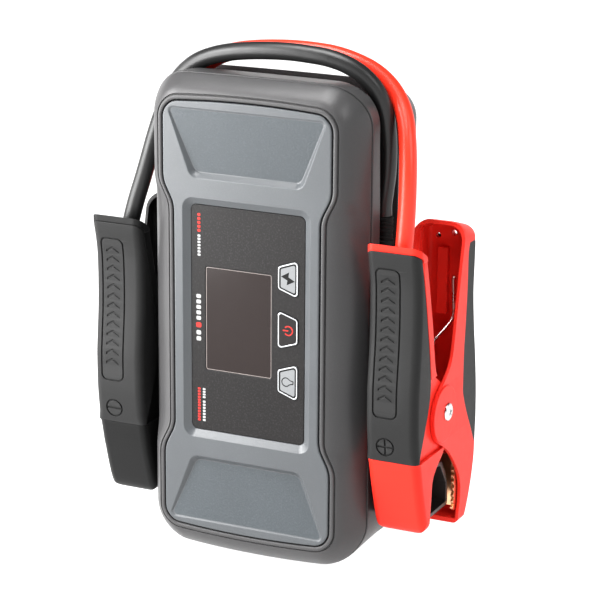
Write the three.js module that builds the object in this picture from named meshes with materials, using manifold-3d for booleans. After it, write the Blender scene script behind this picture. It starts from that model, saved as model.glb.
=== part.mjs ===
// Jump starter pack: an upright battery booster with two spring clamps stored on its sides.
// Millimetres, +Z up, front towards -Y. The origin is on the resting plane, under the middle of the object.
import * as THREE from "three";
import { mergeVertices } from "three/addons/utils/BufferGeometryUtils.js";
import Module from "manifold-3d";

const wasm = await Module();
wasm.setup();

// ---- Driving dimensions -------------------------------------------------------------------
// Inside the body group: x to the right, y backwards from the fascia's front plane, z up from its middle.
const FASCIA_HEIGHT = 147; // resting plane to the fascia's middle
const FASCIA_FRONT = -49.6; // fascia's front plane: half the depth from it to the back of the clamp grips
const GAP = 0.3; // between neighbouring solids

const BODY = { halfWidth: 67.5, top: 139.5, bottom: -138.8, radius: 24, bowTop: 0.6, bowBottom: 3.6 };
const SEAM = 52; // depth of the joint between the two shells
const BACK = 94; // depth of the back
const WALL = 2.5;
const FASCIA = { halfWidth: 52.5, top: 124.65, bottom: -124.65, radius: 9, bowTop: 2.4, bowBottom: 2.4 };
const FASCIA_THICK = 5;
const SHOULDER_Z = 79.4; // where the hourglass starts to narrow
const WAIST_Z = 66.2; // where it is narrowest
const WAIST_HALF = 45.66;
const OVERLAY = { halfWidth: 35.7, halfHeight: 66.65, radius: 3, face: 2.7, thick: 1.2 };
const WINDOW = { left: -26.5, right: 14.9, bottom: -29.9, top: 30.75 };
const KEY = { left: 19.3, right: 31.7, face: 2.1, foot: 7.1, travel: 0.8 };
const CHANNEL = { half: 57.4, top: 131.5, radius: 19, topFront: 23, sideFront: 34.5, back: 56, foot: 42 };
const CABLE_R = 5;
const GLAND = { x: 64.2, y: 45, radius: 6.2, foot: 42.3, exit: 62 };

const CLAMP_X = 87.3; // clamp's middle plane from the body's middle plane
const PIVOT = { y: 49.5, z: -50, radius: 2.5, reach: 16.7 };
const ARM_HALF = 16.3; // half width of the clamp's red or black arms
const EAR_HALF = 14.2; // half width of the front arm's ears, inside the rear arm's
const ARM_WALL = 1.8;
const LUG_Y = 17.6; // crimp lug's axis inside the front handle
const POST_REACH = 98; // storage post's outer end from the body's middle plane
const BLACK_DROP = 3; // the black clamp is pushed this much further down its post than the red one

// ---- Solids and meshes --------------------------------------------------------------------
function positionsOnly(geometry) {
  const { position } = geometry.toNonIndexed().attributes;
  return mergeVertices(new THREE.BufferGeometry().setAttribute("position", position), 1e-4);
}

function solid(geometry) {
  const merged = positionsOnly(geometry.index ? geometry : indexed(geometry));
  return new wasm.Manifold(
    new wasm.Mesh({
      numProp: 3,
      vertProperties: merged.attributes.position.array,
      triVerts: new Uint32Array(merged.index.array),
    }),
  );
}

function indexed(geometry) {
  const count = geometry.attributes.position.count;
  return geometry.clone().setIndex([...Array(count).keys()]);
}

function geometryOf(manifold) {
  const mesh = manifold.getMesh();
  const geometry = new THREE.BufferGeometry();
  geometry.setAttribute("position", new THREE.BufferAttribute(new Float32Array(mesh.vertProperties), 3));
  geometry.setIndex(new THREE.BufferAttribute(new Uint32Array(mesh.triVerts), 1));
  geometry.computeVertexNormals();
  return geometry;
}

// A closed solid through rings of equally many [x, y, z] points, with a flat fan over each end.
function loft(rings) {
  const size = rings[0].length;
  const points = rings.flat();
  const faces = [];
  for (let r = 0; r + 1 < rings.length; r++) {
    for (let i = 0; i < size; i++) {
      const [a, b] = [r * size + i, r * size + ((i + 1) % size)];
      faces.push([a, b, b + size], [a, b + size, a + size]);
    }
  }
  for (const [ring, last] of [[rings[0], false], [rings[rings.length - 1], true]]) {
    const middle = [0, 1, 2].map((k) => ring.reduce((sum, point) => sum + point[k], 0) / size);
    const start = last ? points.length - size - 1 : 0;
    points.push(middle);
    for (let i = 0; i < size; i++) {
      const [a, b] = [start + i, start + ((i + 1) % size)];
      faces.push(last ? [a, b, points.length - 1] : [b, a, points.length - 1]);
    }
  }
  const at = (face) => face.map((i) => new THREE.Vector3(...points[i]));
  const volume = faces.reduce((sum, face) => {
    const [a, b, c] = at(face);
    return sum + a.dot(b.clone().cross(c));
  }, 0);
  const facing = volume > 0 ? faces : faces.map(([a, b, c]) => [a, c, b]);
  const geometry = new THREE.BufferGeometry();
  geometry.setAttribute("position", new THREE.Float32BufferAttribute(points.flat(), 3));
  geometry.setIndex(facing.flat());
  return solid(geometry);
}

const basis = (...columns) => new THREE.Matrix4().makeBasis(...columns.map((c) => new THREE.Vector3(...c)));
const AXES = {
  x: basis([0, 1, 0], [0, 0, 1], [1, 0, 0]),
  y: basis([1, 0, 0], [0, 0, 1], [0, -1, 0]),
  z: basis([1, 0, 0], [0, 1, 0], [0, 0, 1]),
};

// A flat outline swept from one coordinate to another: [y, z] points along x, [x, z] along y, [x, y] along z.
function prism(axis, outline, from, to) {
  const isShape = outline instanceof THREE.Shape;
  const shape = isShape ? outline : new THREE.Shape(outline.map((p) => new THREE.Vector2(...p)));
  const geometry = new THREE.ExtrudeGeometry(shape, { depth: to - from, bevelEnabled: false, curveSegments: 2 });
  geometry.translate(0, 0, axis === "y" ? -to : from);
  return solid(geometry.applyMatrix4(AXES[axis]));
}

function rod(axis, radius, from, to, [u, v], sides = 14) {
  const ring = Array.from({ length: sides }, (_, i) => {
    const angle = (2 * Math.PI * i) / sides;
    return [u + radius * Math.cos(angle), v + radius * Math.sin(angle)];
  });
  return prism(axis, ring, from, to);
}

function box(x0, x1, y0, y1, z0, z1) {
  return prism("z", [[x0, y0], [x1, y0], [x1, y1], [x0, y1]], z0, z1);
}

function roundedRect(x0, x1, y0, y1, radius) {
  const shape = new THREE.Shape();
  shape.moveTo(x0 + radius, y0).lineTo(x1 - radius, y0);
  shape.absarc(x1 - radius, y0 + radius, radius, -Math.PI / 2, 0);
  shape.lineTo(x1, y1 - radius).absarc(x1 - radius, y1 - radius, radius, 0, Math.PI / 2);
  shape.lineTo(x0 + radius, y1).absarc(x0 + radius, y1 - radius, radius, Math.PI / 2, Math.PI);
  shape.lineTo(x0, y0 + radius).absarc(x0 + radius, y0 + radius, radius, Math.PI, 1.5 * Math.PI);
  return shape;
}

function sweptTube(points, radius, sides, steps) {
  const curve = new THREE.CatmullRomCurve3(points.map((p) => new THREE.Vector3(...p)), false, "centripetal");
  const section = new THREE.Shape().absarc(0, 0, radius, 0, 2 * Math.PI);
  const geometry = new THREE.ExtrudeGeometry(section, { extrudePath: curve, steps, curveSegments: sides / 2 });
  return solid(geometry);
}

const union = (solids) => solids.reduce((sum, next) => sum.add(next));
const cut = (body, solids) => solids.reduce((left, next) => left.subtract(next), body);

// ---- Materials ----------------------------------------------------------------------------
const finish = (color, roughness, metalness = 0) => new THREE.MeshStandardMaterial({ color, roughness, metalness });
const LOOK = {
  shell: () => finish(0x5c5d5f, 0.6),
  fascia: () => finish(0x858a90, 0.5),
  overlay: () => finish(0x47464a, 0.3),
  glass: () => finish(0x2c2523, 0.08),
  key: () => finish(0xb4b6b9, 0.4),
  redPlastic: () => finish(0xe8352c, 0.35),
  blackPlastic: () => finish(0x2c2c2d, 0.45),
  grip: () => finish(0x3f3f40, 0.75),
  redCable: () => finish(0xf0453a, 0.4),
  blackCable: () => finish(0x262627, 0.4),
  copper: () => finish(0xd88a5f, 0.35, 1),
  steel: () => finish(0xc6c6c8, 0.3, 1),
  board: () => finish(0x1f5b37, 0.5),
  cell: () => finish(0x2f5f9e, 0.5),
  rubber: () => finish(0x1d1d1e, 0.9),
  lens: () => finish(0xdfe4e8, 0.1),
};

const pack = new THREE.Group();
const body = new THREE.Group();
body.position.set(0, FASCIA_FRONT, FASCIA_HEIGHT);
pack.add(body);

function piece(name, manifold, look, parent = body) {
  const mesh = new THREE.Mesh(geometryOf(manifold), LOOK[look]());
  mesh.name = name;
  parent.add(mesh);
}

// ---- Outlines around the body ---------------------------------------------------------------
// Points run clockwise from the top middle; side is 1 on the flanks, 0 on the ends, and blends round the corners.
const CORNER_STEPS = 3;
const EDGE_PARTS = [0, 0.5];

function quarter({ halfWidth, top, radius, bow, waist }) {
  const flat = halfWidth - radius;
  const bowed = (x) => bow * (1 - (x / halfWidth) ** 2);
  const points = EDGE_PARTS.map((part) => ({ x: flat * part, z: top + bowed(flat * part), side: 0 }));
  for (let i = 0; i <= CORNER_STEPS; i++) {
    const angle = (Math.PI / 2) * (i / CORNER_STEPS);
    const x = flat + radius * Math.sin(angle);
    points.push({ x, z: top - radius + radius * Math.cos(angle) + bowed(x), side: Math.sin(angle) ** 2 });
  }
  points.push({ x: halfWidth, z: SHOULDER_Z, side: 1 }, { x: waist, z: WAIST_Z, side: 1 });
  return points;
}

function outline({ halfWidth, top, bottom, radius, bowTop = 0, bowBottom = 0, waist = halfWidth }) {
  const upper = quarter({ halfWidth, top, radius, bow: bowTop, waist });
  const lower = quarter({ halfWidth, top: -bottom, radius, bow: bowBottom, waist });
  const right = [...upper, { x: waist, z: 0, side: 1 }, ...lower.reverse().map((p) => ({ ...p, z: -p.z }))];
  const left = right.slice(1, -1).reverse().map((p) => ({ ...p, x: -p.x }));
  return [...right, ...left];
}

const grown = (shape, by) => ({
  ...shape,
  halfWidth: shape.halfWidth + by,
  top: shape.top + by,
  bottom: shape.bottom - by,
  radius: shape.radius + by,
  waist: (shape.waist ?? shape.halfWidth) + by,
});
const atDepth = (points, end, side = end) => points.map((p) => [p.x, end + (side - end) * p.side, p.z]);
const between = (a, b, part) =>
  a.map((p, i) => ({ x: p.x + (b[i].x - p.x) * part, z: p.z + (b[i].z - p.z) * part, side: b[i].side }));

const hourglass = (by) => outline(grown({ ...FASCIA, waist: WAIST_HALF }, by));
const bodyOutline = (by, top = BODY.top + by, bottom = BODY.bottom - by, radius = BODY.radius + by) =>
  outline({ ...BODY, halfWidth: BODY.halfWidth + by, radius, top, bottom });

// ---- Cable channel and storage post shapes, shared by both shells -----------------------------
function channelBand(inset, deeper) {
  const frame = outline({ halfWidth: 90, top: 160, bottom: -160, radius: 40 });
  const core = outline({
    halfWidth: CHANNEL.half - inset,
    top: CHANNEL.top - inset,
    bottom: -150,
    radius: CHANNEL.radius - inset,
  });
  const band = loft([
    atDepth(frame, CHANNEL.topFront - deeper, CHANNEL.sideFront - deeper),
    atDepth(frame, CHANNEL.back + deeper),
  ]);
  const middle = loft([atDepth(core, 0), atDepth(core, BACK + 10)]);
  return cut(band, [middle]).intersect(box(-100, 100, 0, BACK, CHANNEL.foot - deeper, 170));
}

// Section of a storage post in [y, z]: it fills the space between the clamp's jaws.
const POST_SECTION = [
  [46, -82.3], [40.5, -88], [36, -95], [35.5, -113], [68, -113], [67.4, -101], [64, -92], [58, -83.6],
];
const scaledSection = (by) => {
  const [cy, cz] = [52, -100];
  return POST_SECTION.map(([y, z]) => [y + by * Math.sign(y - cy), z + by * Math.sign(z - cz)]);
};
const postSocket = (side) => {
  const [inner, outer] = [BODY.halfWidth - 1, BODY.halfWidth + 10];
  return prism("x", scaledSection(GAP), side > 0 ? inner : -outer, side > 0 ? outer : -inner);
};

const SIDES = [["right", 1], ["left", -1]];
const SCREW_SPOTS = [[50, 112], [-50, 112], [50, -112], [-50, -112]];
const FEET = [["front_right", 28, 32], ["front_left", -28, 32], ["rear_right", 28, 74], ["rear_left", -28, 74]];
const FOOT = { radius: 7, top: -135.6 };

const footSocket = ([, x, y]) => rod("z", FOOT.radius + GAP, -150, FOOT.top + GAP, [x, y]);
const footBoss = ([, x, y]) => rod("z", FOOT.radius + 2, FOOT.top - 6, FOOT.top + 2.4, [x, y]);

// ---- Lamp window in the floor of the top channel ------------------------------------------------
const LAMP = { left: -6, right: 44, front: 43.5, back: 51, lip: 1.2, radius: 2.6 };
const lampOutline = (by) =>
  roundedRect(LAMP.left - by, LAMP.right + by, LAMP.front - by, LAMP.back + by, LAMP.radius + by);

// ---- Front shell ----------------------------------------------------------------------------
const SHELL_FLOOR = 7.5; // back face of the wall behind the fascia

function frontShell() {
  const rim = hourglass(3.4);
  const edge = bodyOutline(0);
  const outer = loft([
    atDepth(hourglass(1.2), 0.3),
    atDepth(hourglass(3.0), 0.3),
    atDepth(rim, 1.2),
    atDepth(between(rim, edge, 0.5), 4.8, 7.6),
    atDepth(bodyOutline(-1), 10.8, 18.4),
    atDepth(edge, 12, 20),
    atDepth(bodyOutline(-0.7), 12.6, 20.6),
    atDepth(bodyOutline(0.4), 13.4, 21.4),
    atDepth(bodyOutline(0.8, 137.5, -137.6), SEAM - GAP / 2),
  ]);
  const cavity = loft([
    atDepth(bodyOutline(-22, 117, -117), SHELL_FLOOR),
    atDepth(bodyOutline(-11, 128, -128), 12, 15),
    atDepth(bodyOutline(-2.4, 136.5, -136), 18, 25),
    atDepth(bodyOutline(-1.7, 135, -135.2), SEAM + 1),
  ]);
  const shell = cut(outer, [cavity]);
  const inside = (part) => part.intersect(outer);
  const bosses = SCREW_SPOTS.map(([x, z]) => inside(rod("y", 4.6, 6, SEAM - GAP / 2, [x, z], 12)));
  const liner = inside(channelBand(WALL - 0.3, WALL - 0.3));
  const feet = FEET.slice(0, 2).map((foot) => inside(footBoss(foot)));
  return cut(union([shell, ...bosses, liner, ...feet]), [
    channelBand(0, 0),
    loft([atDepth(hourglass(1.2), -1), atDepth(hourglass(1.2), FASCIA_THICK + GAP)]),
    prism("y", roundedRect(-33, 34, -62, 62, 4), 0, SHELL_FLOOR + 1),
    ...SCREW_SPOTS.map(([x, z]) => rod("y", 2.1, 26, SEAM + 1, [x, z], 10)),
    ...FEET.slice(0, 2).map(footSocket),
    ...SIDES.map(([, side]) => postSocket(side)),
    prism("z", lampOutline(-LAMP.lip), CHANNEL.top - 5, CHANNEL.top + 1),
  ]);
}
piece("front_shell", frontShell(), "shell");

// ---- Rear shell -----------------------------------------------------------------------------
const PORT = { half: 24, bottom: -112, top: -83, recess: 3, hingeZ: -86.5, hingeY: BACK - 2.4 };

function rearShell() {
  const outer = loft([
    atDepth(bodyOutline(0.8, 137.5, -137.6), SEAM + GAP / 2),
    atDepth(bodyOutline(0, 131.8, -135.8, 19.5), 72),
    atDepth(bodyOutline(-1, 128.6, -133.8, 18), BACK - 10),
    atDepth(bodyOutline(-4, 125.6, -130.8, 16), BACK - 4),
    atDepth(bodyOutline(-10, 119.6, -125, 11), BACK),
  ]);
  const cavity = loft([
    atDepth(bodyOutline(-1.7, 135, -135.2), SEAM - 1),
    atDepth(bodyOutline(-2.5, 129.3, -133.3), 72),
    atDepth(bodyOutline(-3.6, 126, -131.2), BACK - 10.5),
    atDepth(bodyOutline(-6.5, 123, -128.2), BACK - 5.5),
    atDepth(bodyOutline(-11, 118.6, -124), BACK - WALL),
  ]);
  const inside = (part) => part.intersect(outer);
  const bosses = SCREW_SPOTS.map(([x, z]) => inside(rod("y", 4.6, SEAM + GAP / 2, BACK, [x, z], 12)));
  const liner = inside(channelBand(WALL - 0.3, WALL - 0.3));
  const feet = FEET.slice(2).map((foot) => inside(footBoss(foot)));
  const reach = PORT.half + 3;
  const portTray = box(-reach, reach, BACK - PORT.recess - 2.5, BACK - 1, PORT.bottom - 3, PORT.top + 3);
  return cut(union([cut(outer, [cavity]), ...bosses, liner, ...feet, inside(portTray)]), [
    channelBand(0, 0),
    ...SCREW_SPOTS.map(([x, z]) => rod("y", 2.1, SEAM - 1, BACK + 1, [x, z], 10)),
    ...SCREW_SPOTS.map(([x, z]) => rod("y", 3.8, BACK - 8, BACK + 1, [x, z], 16)),
    ...FEET.slice(2).map(footSocket),
    ...SIDES.map(([, side]) => postSocket(side)),
    prism("y", roundedRect(-PORT.half, PORT.half, PORT.bottom, PORT.top, 3), BACK - PORT.recess, BACK + 1),
    prism("y", roundedRect(-18, 18, -107, -95, 2), BACK - PORT.recess - 4, BACK),
    box(-PORT.half + 2.5, PORT.half - 2.5, PORT.hingeY - 2.5, BACK + 1, PORT.hingeZ - 4.6, PORT.hingeZ + 3),
    rod("x", 1.2, -PORT.half - 2.5, PORT.half + 2.5, [PORT.hingeY, PORT.hingeZ], 10),
  ]);
}
piece("rear_shell", rearShell(), "shell");

// ---- Fascia with two ramped panels and a central recess ---------------------------------------
// A ramped panel is shallow at the fascia's end and deepens towards the waist.
function rampedPanel(up) {
  const corners = [
    { x: 48.8, z: 121.6, depth: 0.5, flare: 0.5 },
    { x: 33, z: 85.3, depth: 2.8, flare: 3 },
  ];
  const at = (corner, side, open) => {
    const reach = open ? corner.flare : 0;
    const along = corner.depth > 1 ? -1 : 1;
    return [side * (corner.x + reach), open ? -0.6 : corner.depth, up * (corner.z + along * reach)];
  };
  const ring = (open) => [[0, -1], [0, 1], [1, 1], [1, -1]].map(([i, side]) => at(corners[i], side, open));
  return loft([ring(true), ring(false)]);
}

const KEY_X = (KEY.left + KEY.right) / 2;
const keyMiddle = (key) => key.reduce((sum, p) => sum + p[1], 0) / key.length;
const keyHole = (key, by) => {
  const middle = keyMiddle(key);
  return key.map(([x, z]) => [x + by * Math.sign(x - KEY_X), z + by * Math.sign(z - middle)]);
};
const KEYS = {
  start_button: [[KEY.left, 23.8], [KEY.right, 19.6], [KEY.right, 41], [KEY.left, 36.6]],
  power_button: [[KEY.left, -11.2], [KEY.right, -7.2], [KEY.right, 7], [KEY.left, 11]],
  light_button: [[KEY.left, -36.6], [KEY.right, -41], [KEY.right, -19.6], [KEY.left, -23.8]],
};
const windowRect = (by, radius) =>
  roundedRect(WINDOW.left - by, WINDOW.right + by, WINDOW.bottom - by, WINDOW.top + by, radius);
const overlayRect = (by) =>
  roundedRect(
    -OVERLAY.halfWidth - by,
    OVERLAY.halfWidth + by,
    -OVERLAY.halfHeight - by,
    OVERLAY.halfHeight + by,
    OVERLAY.radius,
  );

// A rectangle around the overlay, as a ring at one depth.
function overlayRing(by, y) {
  const [x, z] = [OVERLAY.halfWidth + by, OVERLAY.halfHeight + by];
  return [[-x, y, -z], [x, y, -z], [x, y, z], [-x, y, z]];
}

function fasciaPlate() {
  const plate = loft([
    atDepth(hourglass(-1), 0),
    atDepth(hourglass(0), 1),
    atDepth(hourglass(0), FASCIA_THICK),
  ]);
  return cut(plate, [
    rampedPanel(1),
    rampedPanel(-1),
    loft([overlayRing(4.2, -0.6), overlayRing(GAP, OVERLAY.face + 0.1)]),
    prism("y", overlayRect(GAP), 1, OVERLAY.face + OVERLAY.thick + GAP),
    prism("y", windowRect(-2, 1), 3, FASCIA_THICK + 1),
    ...Object.values(KEYS).map((key) => prism("y", keyHole(key, GAP), 3, FASCIA_THICK + 1)),
  ]);
}
piece("fascia_plate", fasciaPlate(), "fascia");

const overlay = cut(prism("y", overlayRect(0), OVERLAY.face, OVERLAY.face + OVERLAY.thick), [
  prism("y", windowRect(GAP, 1.2), 0, 10),
  ...Object.values(KEYS).map((key) => prism("y", keyHole(key, GAP), 0, 10)),
]);
piece("control_overlay", overlay, "overlay");
piece("display_window", prism("y", windowRect(0, 1.2), OVERLAY.face + 0.2, OVERLAY.face + OVERLAY.thick), "glass");
for (const [name, key] of Object.entries(KEYS)) {
  const stem = rod("y", 2.4, FASCIA_THICK, KEY.foot, [KEY_X, keyMiddle(key)], 10);
  const look = name === "power_button" ? "overlay" : "key";
  piece(name, prism("y", key, KEY.face, FASCIA_THICK + 0.2).add(stem), look);
}

// ---- Electronics and battery behind the fascia ------------------------------------------------
const BOARD = { front: KEY.foot + KEY.travel + 0.5, thick: 1.6, half: 32, tall: 60 };
const BOARD_BACK = BOARD.front + BOARD.thick;
piece("control_board", box(-BOARD.half, BOARD.half, BOARD.front, BOARD_BACK, -BOARD.tall, BOARD.tall), "board");
const display = prism("y", windowRect(-2.5, 0.8), FASCIA_THICK + 0.2, BOARD.front - GAP);
piece("display_module", display, "overlay");

const CELL = { width: 84, thick: 13.6, height: 128, bottom: -118, front: 14, pitch: 14.4 };
const CELL_TOP = CELL.bottom + CELL.height;
const TAB = { spots: [-26, 14], width: 12, rise: 9, front: 5.8, thick: 0.8 };
for (let i = 0; i < 4; i++) {
  const front = CELL.front + i * CELL.pitch;
  const pouch = prism(
    "y",
    roundedRect(-CELL.width / 2, CELL.width / 2, CELL.bottom, CELL_TOP, 3),
    front,
    front + CELL.thick,
  );
  const tabFront = front + TAB.front;
  const tabs = TAB.spots.map((x) =>
    box(x, x + TAB.width, tabFront, tabFront + TAB.thick, CELL_TOP - 1, CELL_TOP + TAB.rise),
  );
  piece(`battery_cell_${i + 1}`, union([pouch, ...tabs]), "cell");
}
const STACK_BACK = CELL.front + 3 * CELL.pitch + CELL.thick;

function cellTray() {
  const [left, right] = [-CELL.width / 2 - 2.5, CELL.width / 2 + 2.5];
  const outer = box(left, right, CELL.front - 2.6, STACK_BACK + 1.8, CELL.bottom - 2.4, -36);
  const room = box(left + 2, right - 2, CELL.front - GAP, STACK_BACK + GAP, CELL.bottom - GAP, 0);
  return cut(outer, [room]);
}
piece("cell_tray", cellTray(), "blackPlastic");

for (let i = 0; i < 3; i++) {
  const x = TAB.spots[(i + 1) % 2];
  const front = CELL.front + i * CELL.pitch + TAB.front + TAB.thick + GAP;
  const back = front + CELL.pitch - TAB.thick - 2 * GAP;
  piece(`busbar_${i + 1}`, box(x, x + TAB.width, front, back, CELL_TOP + 2.5, CELL_TOP + 7.5), "copper");
}

const POWER = { left: -44, right: 44, front: 40, bottom: 32, top: 112 };
piece("power_board", box(POWER.left, POWER.right, POWER.front, POWER.front + 1.8, POWER.bottom, POWER.top), "board");
piece("relay", box(-24, 6, POWER.front + 1.8 + GAP, POWER.front + 28, 44, 74), "blackPlastic");

function heatSink() {
  const base = box(12, 42, POWER.front + 1.8 + GAP, POWER.front + 5.6, 42, 98);
  const fin = (i) => box(13 + i * 5, 15 + i * 5, POWER.front + 5, POWER.front + 22, 42, 98);
  return union([base, ...[0, 1, 2, 3, 4, 5].map(fin)]);
}
piece("heat_sink", heatSink(), "steel");

// ---- Lamp in the floor of the top channel -------------------------------------------------------
const lensFlange = prism("z", lampOutline(0), CHANNEL.top + GAP, CHANNEL.top + 1.5);
const lensPlug = prism("z", lampOutline(-LAMP.lip - GAP), CHANNEL.top - 2.2, CHANNEL.top + 1);
piece("lamp_lens", lensFlange.add(lensPlug), "lens");
piece("lamp_board", box(LAMP.left + 2, LAMP.right - 2, LAMP.front - 2, LAMP.back, 124, 125.6), "board");

// ---- Charging port and its hinged cover on the back ----------------------------------------------
function portCover() {
  const flap = prism(
    "y",
    roundedRect(-PORT.half + 0.5, PORT.half - 0.5, PORT.bottom + 0.5, PORT.hingeZ - 1.9, 2.6),
    BACK - PORT.recess + 0.4,
    BACK - 0.3,
  );
  const barrel = rod("x", 1.9, -PORT.half + 3, PORT.half - 3, [PORT.hingeY + 0.1, PORT.hingeZ], 14);
  const half = PORT.half - 3;
  const bridge = box(-half, half, PORT.hingeY - 0.3, PORT.hingeY + 1.9, PORT.hingeZ - 4, PORT.hingeZ);
  return cut(union([flap, barrel, bridge]), [rod("x", 1.3, -40, 40, [PORT.hingeY, PORT.hingeZ], 12)]);
}
piece("port_cover", portCover(), "rubber");
piece("port_cover_pin", rod("x", 0.9, -PORT.half - 2, PORT.half + 2, [PORT.hingeY, PORT.hingeZ], 12), "steel");

function chargeSockets() {
  const [middle, rear] = [-101, BACK - PORT.recess - 0.6];
  const block = (x, half, tall, from, to) => box(x - half, x + half, from, to, middle - tall, middle + tall);
  const base = block(0, 21, 8, BACK - 18, BACK - 8);
  const spots = [-9.5, 9.5];
  const shells = spots.map((x) => block(x, 5, 2.4, BACK - 9, rear));
  return cut(union([base, ...shells]), spots.map((x) => block(x, 4.3, 1.7, BACK - 12, BACK)));
}
piece("charge_sockets", chargeSockets(), "steel");

// ---- Screws and feet ------------------------------------------------------------------------------
SCREW_SPOTS.forEach(([x, z], i) => {
  const head = rod("y", 3.4, BACK - 7.7, BACK - 5.2, [x, z], 14);
  const shank = rod("y", 1.7, 30, BACK - 7, [x, z], 10);
  piece(`case_screw_${i + 1}`, head.add(shank), "steel");
});
for (const foot of FEET) {
  const [name, x, y] = foot;
  piece(`foot_${name}`, rod("z", FOOT.radius, -FASCIA_HEIGHT, FOOT.top, [x, y], 16), "rubber");
}

// ---- Glands and storage posts -----------------------------------------------------------------------
for (const [name, side] of SIDES) {
  const spot = [side * GLAND.x, GLAND.y];
  const collar = rod("z", GLAND.radius, GLAND.foot, GLAND.foot + 6, spot, 16);
  const sleeve = rod("z", GLAND.radius - 0.6, GLAND.foot + 5, GLAND.exit - GAP, spot, 16);
  piece(`cable_gland_${name}`, collar.add(sleeve), "rubber");

  const [root, tip] = [BODY.halfWidth - 1 + GAP, POST_REACH];
  const span = (from, to) => (side > 0 ? [from, to] : [-to, -from]);
  const post = prism("x", POST_SECTION, ...span(root, tip));
  const hollow = prism("x", scaledSection(-2.2), ...span(root + 4, tip + 1));
  piece(`storage_post_${name}`, cut(post, [hollow]), "blackPlastic");
}

// ---- Spring clamps ----------------------------------------------------------------------------------
// Levels run down a clamp arm: [z, front y, back y]. A section is a rectangle with rounded corners on one side.
const SECTION_STEPS = 2;

function armRing([z, front, back], half, radius, roundBack) {
  const corners = [];
  const centre = roundBack ? back - radius : front + radius;
  const reach = roundBack ? 1 : -1;
  for (const side of [1, -1]) {
    for (let i = 0; i <= SECTION_STEPS; i++) {
      const part = side > 0 ? i : SECTION_STEPS - i;
      const angle = (Math.PI / 2) * (part / SECTION_STEPS);
      corners.push([side * (half - radius + radius * Math.cos(angle)), centre + reach * radius * Math.sin(angle), z]);
    }
  }
  const open = roundBack ? front : back;
  return [...corners, [-half, open, z], [half, open, z]];
}

const arm = (levels, half, radius, roundBack) => loft(levels.map((level) => armRing(level, half, radius, roundBack)));

const FRONT_HANDLE = [
  [56.4, 8.2, 13], [51, 8.2, 16.5], [46, 8.2, 17.5], [23, 8.2, 22.8], [4.3, 8.2, 28.1], [-14.3, 8.3, 32.1], [-22, 8.4, 34],
];
const FRONT_EAR = [
  [-22, 8.4, 34], [-24.5, 8.5, 34.8], [-31.5, 8.6, 45], [-38, 8.8, 53], [-44, 9, 57.5], [-50, 9.2, 59.5],
  [-56, 9.4, 58.5], [-62, 9.6, 56], [-66.5, 9.8, 54], [-73, 10.4, 49],
];
const FRONT_JAW = [
  [-70.7, 7.8, 45.6], [-74, 8.6, 47.6], [-82, 11, 42.7], [-87.6, 12.8, 37.1], [-93.5, 14.8, 33], [-105, 18.6, 32.2],
  [-112.5, 21.6, 32.4], [-115.5, 23.4, 31.6], [-117, 25.6, 30],
];
const FRONT_GRIP = [
  [51.9, 6, 9], [50.3, 6, 9.6], [42.8, 6, 11.8], [24.8, 6, 15.6], [0.7, 6, 19.7], [-24.2, 6, 25.4], [-36.6, 6, 27.5],
  [-43.4, 6.1, 26.4], [-49.9, 6.3, 22.5], [-59.7, 6.7, 16], [-66.9, 7.1, 12.5], [-70.4, 7.4, 12.3],
];
const REAR_ARM = [
  [53, 76, 86], [51, 70.5, 89.8], [45, 66.8, 91], [36, 65.1, 91.4], [18.7, 63.2, 91.8], [1.6, 60.6, 92.6],
  [-12.7, 58.5, 93.6], [-21, 56, 94.3], [-27.5, 52.5, 95], [-31.5, 43.5, 95.4], [-37, 34.9, 96], [-43.5, 30.7, 96.7],
  [-49.5, 29.5, 97], [-56, 30.6, 97.1], [-62.3, 34.2, 97], [-67, 39, 97], [-69.6, 44.5, 97], [-75.6, 53.4, 96.8],
  [-83, 61.4, 96.6], [-90, 68, 96], [-99, 73.2, 94.6], [-108, 75.2, 92.2], [-116.5, 75.8, 88.6], [-122, 75.5, 84],
  [-124.5, 74, 79.5],
];
const REAR_GRIP = [
  [42.5, 80.5, 93.2], [41, 78.9, 93.3], [29.6, 79.2, 93.7], [15, 77.9, 94.1], [-2.4, 76, 95], [-20.4, 75.7, 96.4],
  [-31.8, 73.4, 97.5], [-44.2, 74.2, 98.7], [-53, 79.4, 99.2], [-69.8, 86.5, 99.2], [-80, 92, 98.6],
];
const TEETH = { pitch: 3.8, rise: 2.2 };

const moved = (levels, front, back) => levels.map(([z, y0, y1]) => [z, y0 + front, y1 + back]);
const trimmed = (levels, [top, bottom]) =>
  levels.map(([z, y0, y1], i) => [i === 0 ? top : i === levels.length - 1 ? bottom : z, y0, y1]);

function gripShell(levels, roundBack) {
  const half = ARM_HALF - 0.5;
  const wall = half - 2;
  const inner = roundBack ? moved(levels, -30, -2) : moved(levels, 2, 30);
  const core = arm(trimmed(inner, [levels[0][0] + 1, levels[levels.length - 1][0] - 1]), wall, 3, roundBack);
  return cut(arm(levels, half, 5, roundBack), [core]);
}

// The recess under a grip: the grip's own volume with the gap added, outside the arm's core.
function gripRecess(levels, roundBack) {
  const [top, bottom] = [levels[0][0], levels[levels.length - 1][0]];
  const outside = trimmed(moved(levels, -GAP, GAP), [top + GAP, bottom - GAP]);
  const inside = roundBack ? moved(levels, -30, -2 - GAP) : moved(levels, 2 + GAP, 30);
  const core = arm(trimmed(inside, [top + 1, bottom - 1]), ARM_HALF - 2.5 - GAP, 3, roundBack);
  return cut(arm(outside, ARM_HALF + 5, 1, roundBack), [core]);
}

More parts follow.
